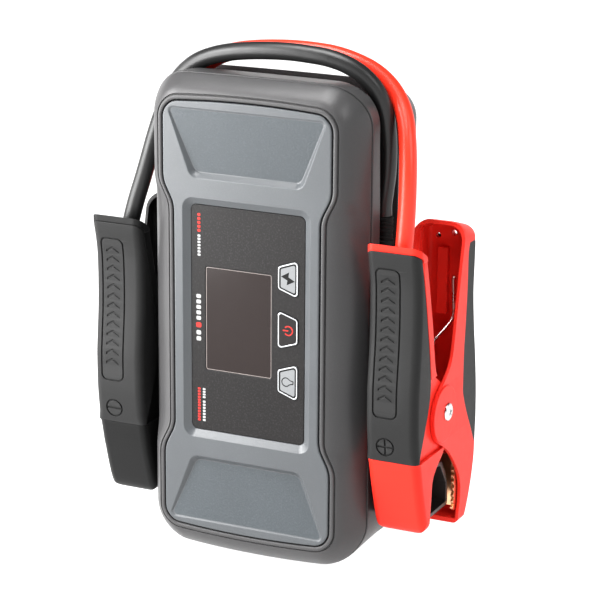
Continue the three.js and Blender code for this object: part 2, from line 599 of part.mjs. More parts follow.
function frontArm() {
  const rim = arm([[56.4, 5.8, 14], [52.2, 5.8, 16.4]], ARM_HALF, 5, false);
  const outer = union([
    rim,
    arm(FRONT_HANDLE, ARM_HALF - 0.3, 4, false),
    arm(FRONT_EAR, EAR_HALF, 3, false),
    arm(FRONT_JAW, ARM_HALF - 0.3, 5, false),
  ]);
  const upper = [...FRONT_HANDLE, ...FRONT_EAR.slice(1)];
  const room = trimmed(moved(upper, 2.4, 30), [60, -70.9]);
  const jawRoom = trimmed(moved(FRONT_JAW.slice(0, -1), 2.2, 20), [-70.5, -114.9]);
  return cut(outer, [
    gripRecess(FRONT_GRIP, false),
    arm(room, EAR_HALF - 2.2, 2, false),
    arm(jawRoom, ARM_HALF - 2.3, 3, false),
    rod("x", PIVOT.radius + GAP, -30, 30, [PIVOT.y, PIVOT.z]),
  ]);
}

function rearArm() {
  const outer = arm(REAR_ARM, ARM_HALF, 5, true);
  const room = trimmed(moved(REAR_ARM.slice(1, -1), -30, -4.4), [50.5, -122.2]);
  const jawRoom = trimmed(moved(REAR_ARM.slice(17, -1), -30, -2.2), [-76, -122.2]);
  const holes = [[-6.5, 43], [3.5, 45.5]].map(([x, z]) => rod("y", 1.6, 80, 110, [x, z], 10));
  const rib = box(-5.4, 1, 84.5, 90.5, -3, 37);
  return cut(outer, [
    gripRecess(REAR_GRIP, true),
    arm(room, ARM_HALF - ARM_WALL, 2, true),
    arm(jawRoom, ARM_HALF - ARM_WALL, 2, true),
    rod("x", PIVOT.radius + GAP, -30, 30, [PIVOT.y, PIVOT.z]),
    ...holes,
  ]).add(rib);
}

// A toothed side view of a copper jaw: its biting edge faces the storage post.
function toothedJaw({ edge, rear, top, half, floor, teeth }) {
  const away = Math.sign(rear - edge);
  const points = [[rear, top], [edge + away * TEETH.rise, top]];
  for (let i = 0; i < teeth; i++) {
    const z = top - 1 - i * TEETH.pitch;
    points.push([edge, z - 0.4 * TEETH.pitch], [edge, z - 0.55 * TEETH.pitch]);
    points.push([edge + away * TEETH.rise, z - TEETH.pitch]);
  }
  points.push([rear, top - 1 - teeth * TEETH.pitch]);
  const plate = prism("x", points, -half, half);
  const [a, b] = [edge - away * 5, rear - away * floor].sort((p, q) => p - q);
  return cut(plate, [box(-half + 1.7, half - 1.7, a, b, top - 50, top + 10)]);
}

function springWire(toRear) {
  const coilR = 6.2;
  const turns = 3.25;
  const width = 9;
  const points = [];
  for (let i = 0; i <= 12 * turns; i++) {
    const angle = Math.PI + (2 * Math.PI * i) / 12;
    const x = -width / 2 + (width * i) / (12 * turns);
    points.push([x, PIVOT.y + coilR * Math.cos(angle), PIVOT.z + coilR * Math.sin(angle)]);
  }
  const start = [[-width / 2, 27, -2], [-width / 2, 36, -22]];
  const end = toRear.map(([y, z]) => [width / 2, y, z]);
  return sweptTube([...start, ...points, ...end], 0.9, 6, 50);
}

function pivotPin() {
  const axis = [PIVOT.y, PIVOT.z];
  const head = (end) => rod("x", 4.2, ...[PIVOT.reach * end, (PIVOT.reach + 1.2) * end].sort((a, b) => a - b), axis);
  return union([rod("x", PIVOT.radius, -PIVOT.reach - 0.5, PIVOT.reach + 0.5, axis), head(1), head(-1)]);
}

function clamp(name, side, plastic, drop) {
  const group = new THREE.Group();
  group.position.set(side * CLAMP_X, 0, -drop);
  body.add(group);
  const add = (part, manifold, look) => piece(`${name}_clamp_${part}`, manifold, look, group);
  add("front_arm", frontArm(), plastic);
  add("rear_arm", rearArm(), plastic);
  add("front_grip", gripShell(FRONT_GRIP, false), "grip");
  add("rear_grip", gripShell(REAR_GRIP, true), "grip");
  add("front_jaw", toothedJaw({ edge: 35.2, rear: 26.5, top: -84, half: 13.4, floor: 1.6, teeth: 7 }), "copper");
  add("rear_jaw", toothedJaw({ edge: 68.3, rear: 79, top: -86, half: 14, floor: 1.6, teeth: 8 }), "copper");
  add("pivot_pin", pivotPin(), "steel");
  add("spring", springWire([[62, -30], [78, -12], [83.4, 0], [84, 14]]), "steel");
  const lug = rod("z", 6.2, -30, -8, [0, LUG_Y], 12);
  const tongue = box(-5, 5, LUG_Y - 2.5, LUG_Y - 0.5, -78, -24);
  add("cable_lug", lug.add(tongue), "copper");
}
clamp("red", 1, "redPlastic", 0);
clamp("black", -1, "blackPlastic", BLACK_DROP);

// ---- Cables -----------------------------------------------------------------------------------------
// Each leaves a gland at one side, rises over the top and comes down into the other side's clamp handle.
const BLACK_ROUTE = [
  [64.2, 45, 62], [64.2, 45, 68], [65, 45, 75], [66.3, 45, 86], [67, 44.4, 98], [67, 43, 110], [66, 40.7, 122],
  [62.8, 38, 132.8], [56.2, 35.5, 141.4], [46.7, 33.5, 147.6], [35.2, 32, 151.1], [23, 31.2, 152.4],
  [11, 30.7, 152.9], [-1, 30.4, 152.5], [-13, 30.4, 151.5], [-25, 30.8, 149.7], [-36.6, 31.8, 146.7],
  [-47.5, 33.8, 142.1], [-57.1, 36.4, 135.4], [-64.9, 38.3, 126.8], [-70.5, 38.5, 116.8], [-73.9, 36.4, 106],
  [-76, 32.6, 94.8], [-77.7, 28.8, 83.4], [-79.9, 25.7, 72], [-82.6, 23.2, 60.6], [-85, 21.2, 49],
  [-86.6, 19.4, 37.3], [-87.2, 18.1, 25.3], [-87.3, LUG_Y, 13.3], [-87.3, LUG_Y, 1.3], [-87.3, LUG_Y, -10.7],
];
const RED_ROUTE = [
  [-64.2, 45, 62], [-64.2, 45, 68], [-64.9, 45.5, 75], [-65.9, 46.3, 86], [-66.3, 46.9, 98], [-65.2, 47.4, 109.7],
  [-61.8, 47.5, 121], [-56, 46.8, 131.1], [-47.7, 45.4, 139.2], [-37.6, 43.9, 145], [-26.3, 42.7, 148.6],
  [-14.5, 42.1, 150.7], [-2.5, 42.1, 151.9], [9.4, 42.7, 152.4], [21.3, 44, 152], [33.1, 46, 150.6],
  [44.3, 48.2, 147.4], [54.9, 50.2, 142.5], [64.2, 50.1, 135.8], [71.8, 47.7, 127.6], [77.5, 43.1, 118.4],
  [81.3, 37.5, 108.4], [83.9, 32.9, 97.8], [85.6, 29.2, 86.8], [86.7, 26.3, 75.2], [87.2, 23.9, 63.5],
  [87.3, 21.8, 51.7], [87.3, 19.9, 39.9], [87.3, 18.4, 28], [87.3, LUG_Y, 16], [87.3, LUG_Y, 4], [87.3, LUG_Y, -7.7],
];
piece("black_cable", sweptTube(BLACK_ROUTE, CABLE_R, 8, 34), "blackCable");
piece("red_cable", sweptTube(RED_ROUTE, CABLE_R, 8, 34), "redCable");

export default pack;
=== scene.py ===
"""Looks of a jump starter pack with two spring clamps stored at its sides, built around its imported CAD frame.

Shapes are made in local millimetres: x to the right, y back from the fascia's front plane, z up from the
fascia's middle. settle() turns a finished shape into metres in the frame and puts it on its CAD body.
"""

import math

import bmesh
import bpy
import numpy as np
from mathutils import Matrix, Vector


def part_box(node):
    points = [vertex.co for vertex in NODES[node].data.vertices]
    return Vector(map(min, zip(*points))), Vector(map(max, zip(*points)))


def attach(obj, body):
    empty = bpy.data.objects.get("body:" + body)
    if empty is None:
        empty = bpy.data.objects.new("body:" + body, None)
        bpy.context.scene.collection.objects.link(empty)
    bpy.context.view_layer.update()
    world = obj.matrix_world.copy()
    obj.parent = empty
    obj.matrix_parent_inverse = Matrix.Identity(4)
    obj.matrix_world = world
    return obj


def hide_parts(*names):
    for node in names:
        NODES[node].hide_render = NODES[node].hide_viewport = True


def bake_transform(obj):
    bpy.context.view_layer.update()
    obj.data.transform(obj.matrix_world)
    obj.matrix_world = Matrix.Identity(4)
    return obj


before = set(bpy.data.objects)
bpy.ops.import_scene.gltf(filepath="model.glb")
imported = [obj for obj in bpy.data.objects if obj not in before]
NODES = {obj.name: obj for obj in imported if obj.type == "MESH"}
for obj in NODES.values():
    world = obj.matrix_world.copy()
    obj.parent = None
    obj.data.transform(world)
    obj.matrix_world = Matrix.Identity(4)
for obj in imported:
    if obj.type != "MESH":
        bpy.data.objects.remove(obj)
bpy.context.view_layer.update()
SCENE = bpy.context.scene

fascia_low, fascia_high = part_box("fascia_plate")
ORIGIN = Vector((0.0, fascia_low.y, (fascia_low.z + fascia_high.z) / 2))
MM = 0.001
TO_FRAME = Matrix.Translation(ORIGIN) @ Matrix.Scale(MM, 4)
FLOOR_Z = -ORIGIN.z / MM  # the resting plane in local millimetres


def at(x, y, z):
    return TO_FRAME @ Vector((x, y, z))


def add_object(name, data):
    obj = bpy.data.objects.new(name, data)
    SCENE.collection.objects.link(obj)
    return obj


# ---- Camera ----
def make_camera():
    place, lens, sensor = (595.14, -1166.74, 386.56), 144.9, 36
    yaw, pitch, roll = (math.radians(a) for a in (25.68, 15.82, 0.40))
    forward = Vector((-math.sin(yaw) * math.cos(pitch), math.cos(yaw) * math.cos(pitch), -math.sin(pitch)))
    level_right = Vector((math.cos(yaw), math.sin(yaw), 0))
    level_up = level_right.cross(forward)
    right = level_right * math.cos(roll) + level_up * math.sin(roll)
    up = level_up * math.cos(roll) - level_right * math.sin(roll)
    data = bpy.data.cameras.new("photo_camera")
    data.sensor_width, data.lens = sensor, lens
    camera = add_object("photo_camera", data)
    axes = Matrix((right, up, -forward)).transposed().to_4x4()
    camera.matrix_world = Matrix.Translation(at(*place)) @ axes
    SCENE.camera = camera


make_camera()


# ---- Materials ----
def set_inputs(node, **values):
    """Sets a node's inputs; an underscore in a name stands for a space."""
    for name, value in values.items():
        node.inputs[name.replace("_", " ")].default_value = value


def material(
    name,
    color,
    roughness,
    grain,
    relief,
    tint=0.05,
    speckle=0.0,
    wear_and_highlight=0.0,
    edge=0.4,
    metallic=0.0,
    specular=0.5,
    transmission=0.0,
    stretch=(1, 1, 1),
):
    """A procedural finish; grain, relief and edge (the shading's rounded edges) are in millimetres."""
    patch = 40  # of lighter and darker tint, in millimetres
    made = bpy.data.materials.new(name)
    made.use_nodes = True
    tree = made.node_tree
    nodes, link = tree.nodes, tree.links.new
    shader = nodes["Principled BSDF"]
    set_inputs(shader, Metallic=metallic, Specular_IOR_Level=specular, Transmission_Weight=transmission)

    place = nodes.new("ShaderNodeTexCoord")
    mapping = nodes.new("ShaderNodeMapping")
    set_inputs(mapping, Scale=stretch)
    link(place.outputs["Object"], mapping.inputs["Vector"])

    def noise(size, detail):
        node = nodes.new("ShaderNodeTexNoise")
        set_inputs(node, Scale=1 / (size * MM), Detail=detail)
        link(mapping.outputs["Vector"], node.inputs["Vector"])
        return node.outputs["Fac"]

    def remap(value, low, high, to_low, to_high):
        node = nodes.new("ShaderNodeMapRange")
        set_inputs(node, From_Min=low, From_Max=high, To_Min=to_low, To_Max=to_high)
        link(value, node.inputs["Value"])
        return node.outputs["Result"]

    def mix(factor, first, second):
        node = nodes.new("ShaderNodeMix")
        node.data_type = "RGBA"
        link(factor, node.inputs["Factor"])
        for key, value in (("A", first), ("B", second)):
            socket = next(s for s in node.inputs if s.name == key and s.type == "RGBA")
            if isinstance(value, tuple):
                socket.default_value = (*value, 1)
            else:
                link(value, socket)
        return next(s for s in node.outputs if s.type == "RGBA")

    fine = noise(grain, 3)
    broad = noise(patch, 2)
    shades = [tuple(min(1.0, c * (1 + by)) for c in color) for by in (-tint, tint)]
    shade = mix(remap(broad, 0.3, 0.7, 0, 1), *shades)
    if speckle:
        light = tuple(min(1.0, c * 1.9 + 0.02) for c in color)
        shade = mix(remap(fine, 0.5, 0.74, 0, speckle), shade, light)
    # Convex edges, found by pointiness, are mixed towards a lighter colour: partly edge wear, partly a painted
    # highlight along the crests.
    if wear_and_highlight:
        geometry = nodes.new("ShaderNodeNewGeometry")
        worn_and_lit = tuple(min(1.0, c * 1.5 + 0.05) for c in color)
        shade = mix(remap(geometry.outputs["Pointiness"], 0.53, 0.62, 0, wear_and_highlight), shade, worn_and_lit)
    link(shade, shader.inputs["Base Color"])
    span = 0.02 + 0.05 * tint
    link(remap(noise(patch / 9, 4), 0.3, 0.7, roughness - span, roughness + span), shader.inputs["Roughness"])

    bump = nodes.new("ShaderNodeBump")
    set_inputs(bump, Distance=relief * MM)
    link(fine, bump.inputs["Height"])
    if edge:
        rounded = nodes.new("ShaderNodeBevel")
        rounded.samples = 4
        set_inputs(rounded, Radius=edge * MM)
        link(rounded.outputs["Normal"], bump.inputs["Normal"])
    link(bump.outputs["Normal"], shader.inputs["Normal"])
    return made


KEY_FINISH = dict(grain=0.5, relief=0.02, speckle=0.1, edge=0.2)
MARK_FINISH = dict(grain=0.4, relief=0.01, edge=0.0)
JACKET_FINISH = dict(grain=0.9, relief=0.015, edge=0.0, stretch=(1, 1, 0.3))
LOOKS = {
    "shell": material(
        "shell_satin", (0.062, 0.061, 0.062), 0.32, 0.55, 0.035, specular=0.28, speckle=0.12, wear_and_highlight=0.12
    ),
    # The fascia's strong edge lightening mostly paints highlight lines along its crests and edges.
    "fascia": material(
        "fascia_satin", (0.074, 0.079, 0.084), 0.30, 0.6, 0.03, specular=0.45, speckle=0.08, wear_and_highlight=0.5
    ),
    "pebble": material("fascia_pebble", (0.050, 0.058, 0.064), 0.4, 1.1, 0.12, specular=0.4, speckle=0.14),
    "overlay": material(
        "overlay_film", (0.011, 0.010, 0.010), 0.38, 1.0, 0.04, specular=0.25, speckle=0.5, edge=0.3
    ),
    "glass": material("display_glass", (0.012, 0.006, 0.005), 0.14, 6, 0.004, specular=0.35),
    # A light beige colour for the band round the display window: a painted highlight standing in for the glint
    # on the glass edge.
    "glass_painted_glint": material("display_painted_glint", (0.20, 0.175, 0.165), 0.3, 0.8, 0.01, edge=0.1),
    "key": material("key_face", (0.19, 0.195, 0.20), 0.4, specular=0.3, **KEY_FINISH),
    "key_dark": material("key_face_dark", (0.012, 0.010, 0.010), 0.4, specular=0.25, **KEY_FINISH),
    "chrome": material("key_rim", (0.46, 0.47, 0.48), 0.3, 0.8, 0.01, metallic=0.8, edge=0.15),
    "line": material("key_line", (0.008, 0.008, 0.008), 0.5, 0.5, 0.01, specular=0.2, edge=0.1),
    "white_mark": material("mark_white", (0.34, 0.34, 0.34), 0.5, specular=0.3, **MARK_FINISH),
    "red_mark": material("mark_red", (0.42, 0.028, 0.022), 0.5, specular=0.25, **MARK_FINISH),
    "red_plastic": material(
        "red_plastic", (0.84, 0.040, 0.026), 0.34, 0.8, 0.012, specular=0.12, tint=0.03, wear_and_highlight=0.2, edge=0.7
    ),
    "black_plastic": material(
        "black_plastic",
        (0.014, 0.014, 0.014),
        0.38,
        0.6,
        0.02,
        specular=0.15,
        speckle=0.1,
        wear_and_highlight=0.15,
        edge=0.7,
    ),
    "grip": material(
        "grip_rubber", (0.026, 0.026, 0.026), 0.46, 0.45, 0.05, specular=0.15, speckle=0.1, wear_and_highlight=0.2, edge=0.7
    ),
    "black_jacket": material("black_jacket", (0.018, 0.018, 0.018), 0.36, tint=0.1, **JACKET_FINISH),
    "red_jacket": material("red_jacket", (0.88, 0.045, 0.022), 0.33, tint=0.04, **JACKET_FINISH),
    "copper": material("copper_plate", (0.90, 0.50, 0.30), 0.3, 0.5, 0.02, tint=0.12, wear_and_highlight=0.3, metallic=1.0),
    "steel": material("zinc_steel", (0.70, 0.70, 0.70), 0.28, 0.4, 0.02, tint=0.08, wear_and_highlight=0.2, metallic=1.0),
    "rubber": material(
        "black_rubber", (0.009, 0.009, 0.009), 0.62, 0.5, 0.06, specular=0.2, speckle=0.08, edge=0.5
    ),
    "post": material("post_plastic", (0.040, 0.033, 0.031), 0.34, 0.5, 0.02, speckle=0.1, edge=0.6),
    "lens": material("lamp_lens", (0.80, 0.84, 0.86), 0.12, 1.5, 0.05, transmission=0.6, edge=0.3),
    "inner": material("inner_plastic", (0.030, 0.030, 0.030), 0.5, 0.6, 0.03, speckle=0.1),
    "board": material("circuit_board", (0.020, 0.160, 0.060), 0.4, 1.4, 0.05, tint=0.2, speckle=0.3),
    "pouch": material("cell_pouch", (0.35, 0.38, 0.45), 0.35, 3.0, 0.1, metallic=0.5),
    "sink": material("heat_sink", (0.60, 0.60, 0.61), 0.35, 0.4, 0.02, metallic=1.0, stretch=(1, 1, 0.2)),
}


# ---- Mesh helpers ----
def solid(points, faces):
    """A closed mesh object in local millimetres, with its faces turned out."""
    mesh = bpy.data.meshes.new("shape")
    mesh.from_pydata([tuple(p) for p in points], [], faces)
    bm = bmesh.new()
    bm.from_mesh(mesh)
    bmesh.ops.recalc_face_normals(bm, faces=bm.faces)
    bm.to_mesh(mesh)
    bm.free()
    return add_object("shape", mesh)


def loft(rings, closed=False):
    """Skins rings of equally many points; closed joins the last ring to the first instead of capping both."""
    count = len(rings[0])
    points = [p for ring in rings for p in ring]
    faces = []
    pairs = len(rings) if closed else len(rings) - 1
    for i in range(pairs):
        a, b = i * count, (i + 1) % len(rings) * count
        faces += [(a + j, a + (j + 1) % count, b + (j + 1) % count, b + j) for j in range(count)]
    if not closed:
        faces += [tuple(range(count)), tuple(range(len(points) - count, len(points)))]
    return solid(points, faces)


def prism_y(outline, front, back):
    return loft([[(x, y, z) for x, z in outline] for y in (front, back)])


def prism_x(outline, left, right):
    return loft([[(x, y, z) for y, z in outline] for x in (left, right)])


def prism_z(outline, low, high):
    return loft([[(x, y, z) for x, y in outline] for z in (low, high)])


def turned(axis, spot, profile, sides=32):
    """A solid of revolution along an axis: profile is [(position, radius)]."""
    rings = []
    for along, radius in profile:
        ring = []
        for i in range(sides):
            turn = 2 * math.pi * i / sides
            u, v = spot[0] + radius * math.cos(turn), spot[1] + radius * math.sin(turn)
            ring.append({"x": (along, u, v), "y": (u, along, v), "z": (u, v, along)}[axis])
        rings.append(ring)
    return loft(rings)


def box(x0, x1, y0, y1, z0, z1):
    return prism_y([(x0, z0), (x1, z0), (x1, z1), (x0, z1)], y0, y1)


def bake(obj):
    """Applies an object's modifiers to its mesh."""
    graph = bpy.context.evaluated_depsgraph_get()
    mesh = bpy.data.meshes.new_from_object(obj.evaluated_get(graph))
    obj.modifiers.clear()
    old, obj.data = obj.data, mesh
    bpy.data.meshes.remove(old)


def combine(base, operation, others):
    """Applies one boolean after another to base, and removes the shapes that it used up."""
    for other in others:
        modifier = base.modifiers.new(operation, "BOOLEAN")
        modifier.operation, modifier.solver, modifier.object = operation, "MANIFOLD", other
        bake(base)
        mesh = other.data
        bpy.data.objects.remove(other)
        bpy.data.meshes.remove(mesh)
    return base


def cut(base, others):
    return combine(base, "DIFFERENCE", others)


def join(base, others):
    return combine(base, "UNION", others)


def overlap(base, other):
    return combine(base, "INTERSECT", [other])


def smooth(obj, angle=32, bevel=0.0, segments=2):
    """Rounds the edges sharper than angle, then shades everything flatter than it smoothly."""
    if bevel:
        modifier = obj.modifiers.new("round", "BEVEL")
        modifier.width, modifier.segments = bevel, segments
        modifier.limit_method, modifier.angle_limit = "ANGLE", math.radians(angle)
        bake(obj)
    mesh = obj.data
    mesh.polygons.foreach_set("use_smooth", [True] * len(mesh.polygons))
    mesh.set_sharp_from_angle(angle=math.radians(angle))
    weighted = obj.modifiers.new("weighted", "WEIGHTED_NORMAL")
    weighted.keep_sharp = True


def settle(obj, name, body, slot, look, *replaced, angle=32, bevel=0.0, segments=2, extra=()):
    """Finishes a shape: shading, place in the frame, looks, body and the CAD nodes that it replaces; slot is
    not used.
    """
    obj.name = obj.data.name = name
    smooth(obj, angle, bevel, segments)
    obj.data.transform(TO_FRAME)
    obj.data.materials.clear()
    for key in (look, *extra):
        obj.data.materials.append(LOOKS[key])
    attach(obj, body)
    if replaced:
        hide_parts(*replaced)
    return obj


# ---- Outline helpers ----
def bezier(a, corner, b, steps):
    a, corner, b = Vector(a), Vector(corner), Vector(b)
    parts = [i / steps for i in range(steps + 1)]
    return [tuple(a.lerp(corner, t).lerp(corner.lerp(b, t), t)) for t in parts]


def rounded(points, radius, steps=5):
    """A polygon with its corners rounded; radius is one number or one for each corner."""
    count = len(points)
    radii = radius if isinstance(radius, (list, tuple)) else [radius] * count
    result = []
    for i in range(count):
        here, before, after = (Vector(points[j]) for j in (i, i - 1, (i + 1) % count))
        to_before, to_after = (before - here).normalized(), (after - here).normalized()
        if radii[i] <= 0:
            result.append(tuple(here))
            continue
        half_angle = to_before.angle(to_after) / 2
        reach = radii[i] / math.tan(half_angle)
        middle = here + (to_before + to_after).normalized() * (radii[i] / math.sin(half_angle))
        start, end = here + to_before * reach - middle, here + to_after * reach - middle
        turn = start.angle_signed(end)
        for k in range(steps + 1):
            angle = -turn * k / steps
            c, s = math.cos(angle), math.sin(angle)
            result.append((middle.x + start.x * c - start.y * s, middle.y + start.x * s + start.y * c))
    return result


def rectangle(x0, x1, y0, y1, radius=0.0, steps=6):
    return rounded([(x0, y0), (x1, y0), (x1, y1), (x0, y1)], radius, steps)


def offset(points, by):
    """Moves the sides of a convex polygon outwards by a distance."""
    area = sum(a[0] * b[1] - b[0] * a[1] for a, b in zip(points, points[1:] + points[:1]))
    out = 1 if area > 0 else -1
    lines = []
    for a, b in zip(points, points[1:] + points[:1]):
        direction = (Vector(b) - Vector(a)).normalized()
        normal = Vector((direction.y, -direction.x)) * out
        lines.append((Vector(a) + normal * by, direction))
    result = []
    for (p, u), (q, v) in zip(lines[-1:] + lines[:-1], lines):
        cross = u.x * v.y - u.y * v.x
        gap = q - p
        result.append(tuple(p + u * ((gap.x * v.y - gap.y * v.x) / cross)))
    return result


def band_y(outer, inner, front, back):
    """A ring with an outer and an inner outline, seen from the front."""
    loops = [(outer, front), (outer, back), (inner, back), (inner, front)]
    return loft([[(x, y, z) for x, z in points] for points, y in loops], closed=True)


def hermite(a, b, slope_a, slope_b, t):
    """The cubic from a to b with the given slopes at its ends."""
    from_a, from_b = (1 + 2 * t) * (1 - t) ** 2, t * t * (3 - 2 * t)
    return a * from_a + slope_a * (t * (1 - t) ** 2) + b * from_b + slope_b * (t * t * (t - 1))


def steady(table, positions):
    """A monotone cubic through (z, value) pairs, read at the given positions."""
    pairs = sorted(table)
    xs, ys = (np.array([p[i] for p in pairs], float) for i in (0, 1))
    step, slope = np.diff(xs), np.diff(ys) / np.diff(xs)
    tangent = np.zeros_like(xs)
    tangent[0], tangent[-1] = slope[0], slope[-1]
    for i in range(1, len(xs) - 1):
        if slope[i - 1] * slope[i] > 0:
            a, b = 2 * step[i] + step[i - 1], step[i] + 2 * step[i - 1]
            tangent[i] = (a + b) / (a / slope[i - 1] + b / slope[i])
    result = []
    for x in positions:
        i = min(max(int(np.searchsorted(xs, x)) - 1, 0), len(step) - 1)
        t = min(max((x - xs[i]) / step[i], 0), 1)
        result.append(float(hermite(ys[i], ys[i + 1], step[i] * tangent[i], step[i] * tangent[i + 1], t)))
    return result


def catmull(points, per_span):
    """Centripetal Catmull-Rom through the points, the curve that the CAD sweeps its tubes along."""
    pts = [Vector(p) for p in points]
    pts = [pts[0] * 2 - pts[1], *pts, pts[-1] * 2 - pts[-2]]
    result = []
    for i in range(1, len(pts) - 2):
        p0, p1, p2, p3 = pts[i - 1 : i + 3]
        d0, d1, d2 = ((b - a).length ** 0.5 for a, b in ((p0, p1), (p1, p2), (p2, p3)))
        t1 = ((p1 - p0) / d0 - (p2 - p0) / (d0 + d1) + (p2 - p1) / d1) * d1
        t2 = ((p2 - p1) / d1 - (p3 - p1) / (d1 + d2) + (p3 - p2) / d2) * d1
        result += [hermite(p1, p2, t1, t2, k / per_span) for k in range(per_span)]
    return [*result, pts[-2]]


def wire(name, points, radius, per_span=6, resolution=5):
    """A round tube along points in local millimetres, as a curve of one open spline in the frame's metres."""
    data = bpy.data.curves.new(name, "CURVE")
    data.dimensions = "3D"
    data.bevel_depth = radius * MM
    data.bevel_resolution = resolution
    data.use_fill_caps = True
    path = [TO_FRAME @ p for p in catmull(points, per_span)]
    spline = data.splines.new("POLY")
    spline.points.add(len(path) - 1)
    for point, place in zip(spline.points, path):
        point.co = (*place, 1)
    spline.use_smooth = True
    return add_object(name, data)


# ---- Cables ----
LUG_Y = 17.6
CABLE_R = 5.0
# fmt: off
BLACK_ROUTE = [
    (64.2, 45, 62), (64.2, 45, 68), (65, 45, 75), (66.3, 45, 86), (67, 44.4, 98), (67, 43, 110),
    (66, 40.7, 122), (62.8, 38, 132.8), (56.2, 35.5, 141.4), (46.7, 33.5, 147.6), (35.2, 32, 151.1),
    (23, 31.2, 152.4), (11, 30.7, 152.9), (-1, 30.4, 152.5), (-13, 30.4, 151.5), (-25, 30.8, 149.7),
    (-36.6, 31.8, 146.7), (-47.5, 33.8, 142.1), (-57.1, 36.4, 135.4), (-64.9, 38.3, 126.8),
    (-70.5, 38.5, 116.8), (-73.9, 36.4, 106), (-76, 32.6, 94.8), (-77.7, 28.8, 83.4), (-79.9, 25.7, 72),
    (-82.6, 23.2, 60.6), (-85, 21.2, 49), (-86.6, 19.4, 37.3), (-87.2, 18.1, 25.3), (-87.3, LUG_Y, 13.3),
    (-87.3, LUG_Y, 1.3), (-87.3, LUG_Y, -10.7),
]
RED_ROUTE = [
    (-64.2, 45, 62), (-64.2, 45, 68), (-64.9, 45.5, 75), (-65.9, 46.3, 86), (-66.3, 46.9, 98),
    (-65.2, 47.4, 109.7), (-61.8, 47.5, 121), (-56, 46.8, 131.1), (-47.7, 45.4, 139.2), (-37.6, 43.9, 145),
    (-26.3, 42.7, 148.6), (-14.5, 42.1, 150.7), (-2.5, 42.1, 151.9), (9.4, 42.7, 152.4), (21.3, 44, 152),
    (33.1, 46, 150.6), (44.3, 48.2, 147.4), (54.9, 50.2, 142.5), (64.2, 50.1, 135.8), (71.8, 47.7, 127.6),
    (77.5, 43.1, 118.4), (81.3, 37.5, 108.4), (83.9, 32.9, 97.8), (85.6, 29.2, 86.8), (86.7, 26.3, 75.2),
    (87.2, 23.9, 63.5), (87.3, 21.8, 51.7), (87.3, 19.9, 39.9), (87.3, 18.4, 28), (87.3, LUG_Y, 16),
    (87.3, LUG_Y, 4), (87.3, LUG_Y, -7.7),
]
# fmt: on
for color, route, length in (("black", BLACK_ROUTE, 0.3587), ("red", RED_ROUTE, 0.3567)):
    cable = wire(f"{color}_cable_jacket", route, CABLE_R, resolution=9)
    cable.data.materials.append(LOOKS[f"{color}_jacket"])
    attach(cable, "pack")
    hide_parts(f"{color}_cable")

# ---- Sizes shared with the CAD ----
GAP = 0.3
SEAM, BACK, WALL, LINER = 52, 94, 2.5, 2.2
BODY = dict(half=67.5, top=139.5, bottom=-138.8, radius=24, bow_top=0.6, bow_bottom=3.6)
FASCIA = dict(half=52.5, top=124.65, bottom=-124.65, radius=9, bow_top=2.4, bow_bottom=2.4)
FASCIA_THICK = 5
SHOULDER_Z, WAIST_Z, WAIST_HALF = 79.4, 66.2, 45.66
OVERLAY_HALF, OVERLAY_TALL, OVERLAY_FACE = 35.7, 66.65, 2.7
WINDOW = (-26.5, 14.9, -29.9, 30.75)
KEY_LEFT, KEY_RIGHT, KEY_FACE = 19.3, 31.7, 2.1
CHANNEL = dict(half=57.4, top=131.5, radius=19, top_front=23, side_front=34.5, back=56, foot=42)
SIDES = (("right", 1), ("left", -1))

EDGE_STEPS, CORNER_STEPS, BEND_STEPS = 6, 12, 5


def quarter(half, top, radius, bow, waist):
    """From the top middle round the corner and the shoulder to the waist, as (x, z, side)."""
    flat = half - radius

    def bowed(x):
        return bow * (1 - (x / half) ** 2)

    xs = [flat * i / EDGE_STEPS for i in range(EDGE_STEPS)]
    points = [(x, top + bowed(x), 0) for x in xs]
    for i in range(CORNER_STEPS + 1):
        angle = math.pi / 2 * i / CORNER_STEPS
        x = flat + radius * math.sin(angle)
        points.append((x, top - radius + radius * math.cos(angle) + bowed(x), math.sin(angle) ** 2))
    shoulder, throat = Vector((half, SHOULDER_Z)), Vector((waist, WAIST_Z))
    slope = (throat - shoulder).normalized() * 4.5
    for corner, first, last in ((shoulder, Vector((0, 4.5)), slope), (throat, -slope, Vector((0, -4.5)))):
        points += [(x, z, 1) for x, z in bezier(corner + first, corner, corner + last, BEND_STEPS)]
    return points


def outline(half, top, bottom, radius, bow_top=0.0, bow_bottom=0.0, waist=None):
    """The whole outline, clockwise from the top middle, as (x, z, side)."""
    waist = half if waist is None else waist
    upper = quarter(half, top, radius, bow_top, waist)
    lower = quarter(half, -bottom, radius, bow_bottom, waist)
    right = [*upper, (waist, 0, 1), *[(x, -z, s) for x, z, s in reversed(lower)]]
    left = [(-x, z, s) for x, z, s in reversed(right[1:-1])]
    return [*right, *left]


def hourglass(by):
    """The fascia's outline, moved outwards."""
    f = FASCIA
    half, top, bottom, radius = f["half"] + by, f["top"] + by, f["bottom"] - by, f["radius"] + by
    return outline(half, top, bottom, radius, f["bow_top"], f["bow_bottom"], WAIST_HALF + by)


def body_outline(by, top=None, bottom=None, radius=None):
    b = BODY
    top = b["top"] + by if top is None else top
    bottom = b["bottom"] - by if bottom is None else bottom
    radius = b["radius"] + by if radius is None else radius
    return outline(b["half"] + by, top, bottom, radius, b["bow_top"], b["bow_bottom"])


def at_depth(points, end, side=None):
    """A ring from an outline: its depth at the top and bottom ends, and at the sides."""
    side = end if side is None else side
    return [(x, end + (side - end) * s, z) for x, z, s in points]


def body_rings(*rows):
    """Rings of the body, from rows of depth at the ends, depth at the sides and what body_outline() takes."""
    return [at_depth(body_outline(*sizes), end, side) for end, side, *sizes in rows]


def between(a, b, part):
    return [(p[0] + (q[0] - p[0]) * part, p[1] + (q[1] - p[1]) * part, q[2]) for p, q in zip(a, b)]


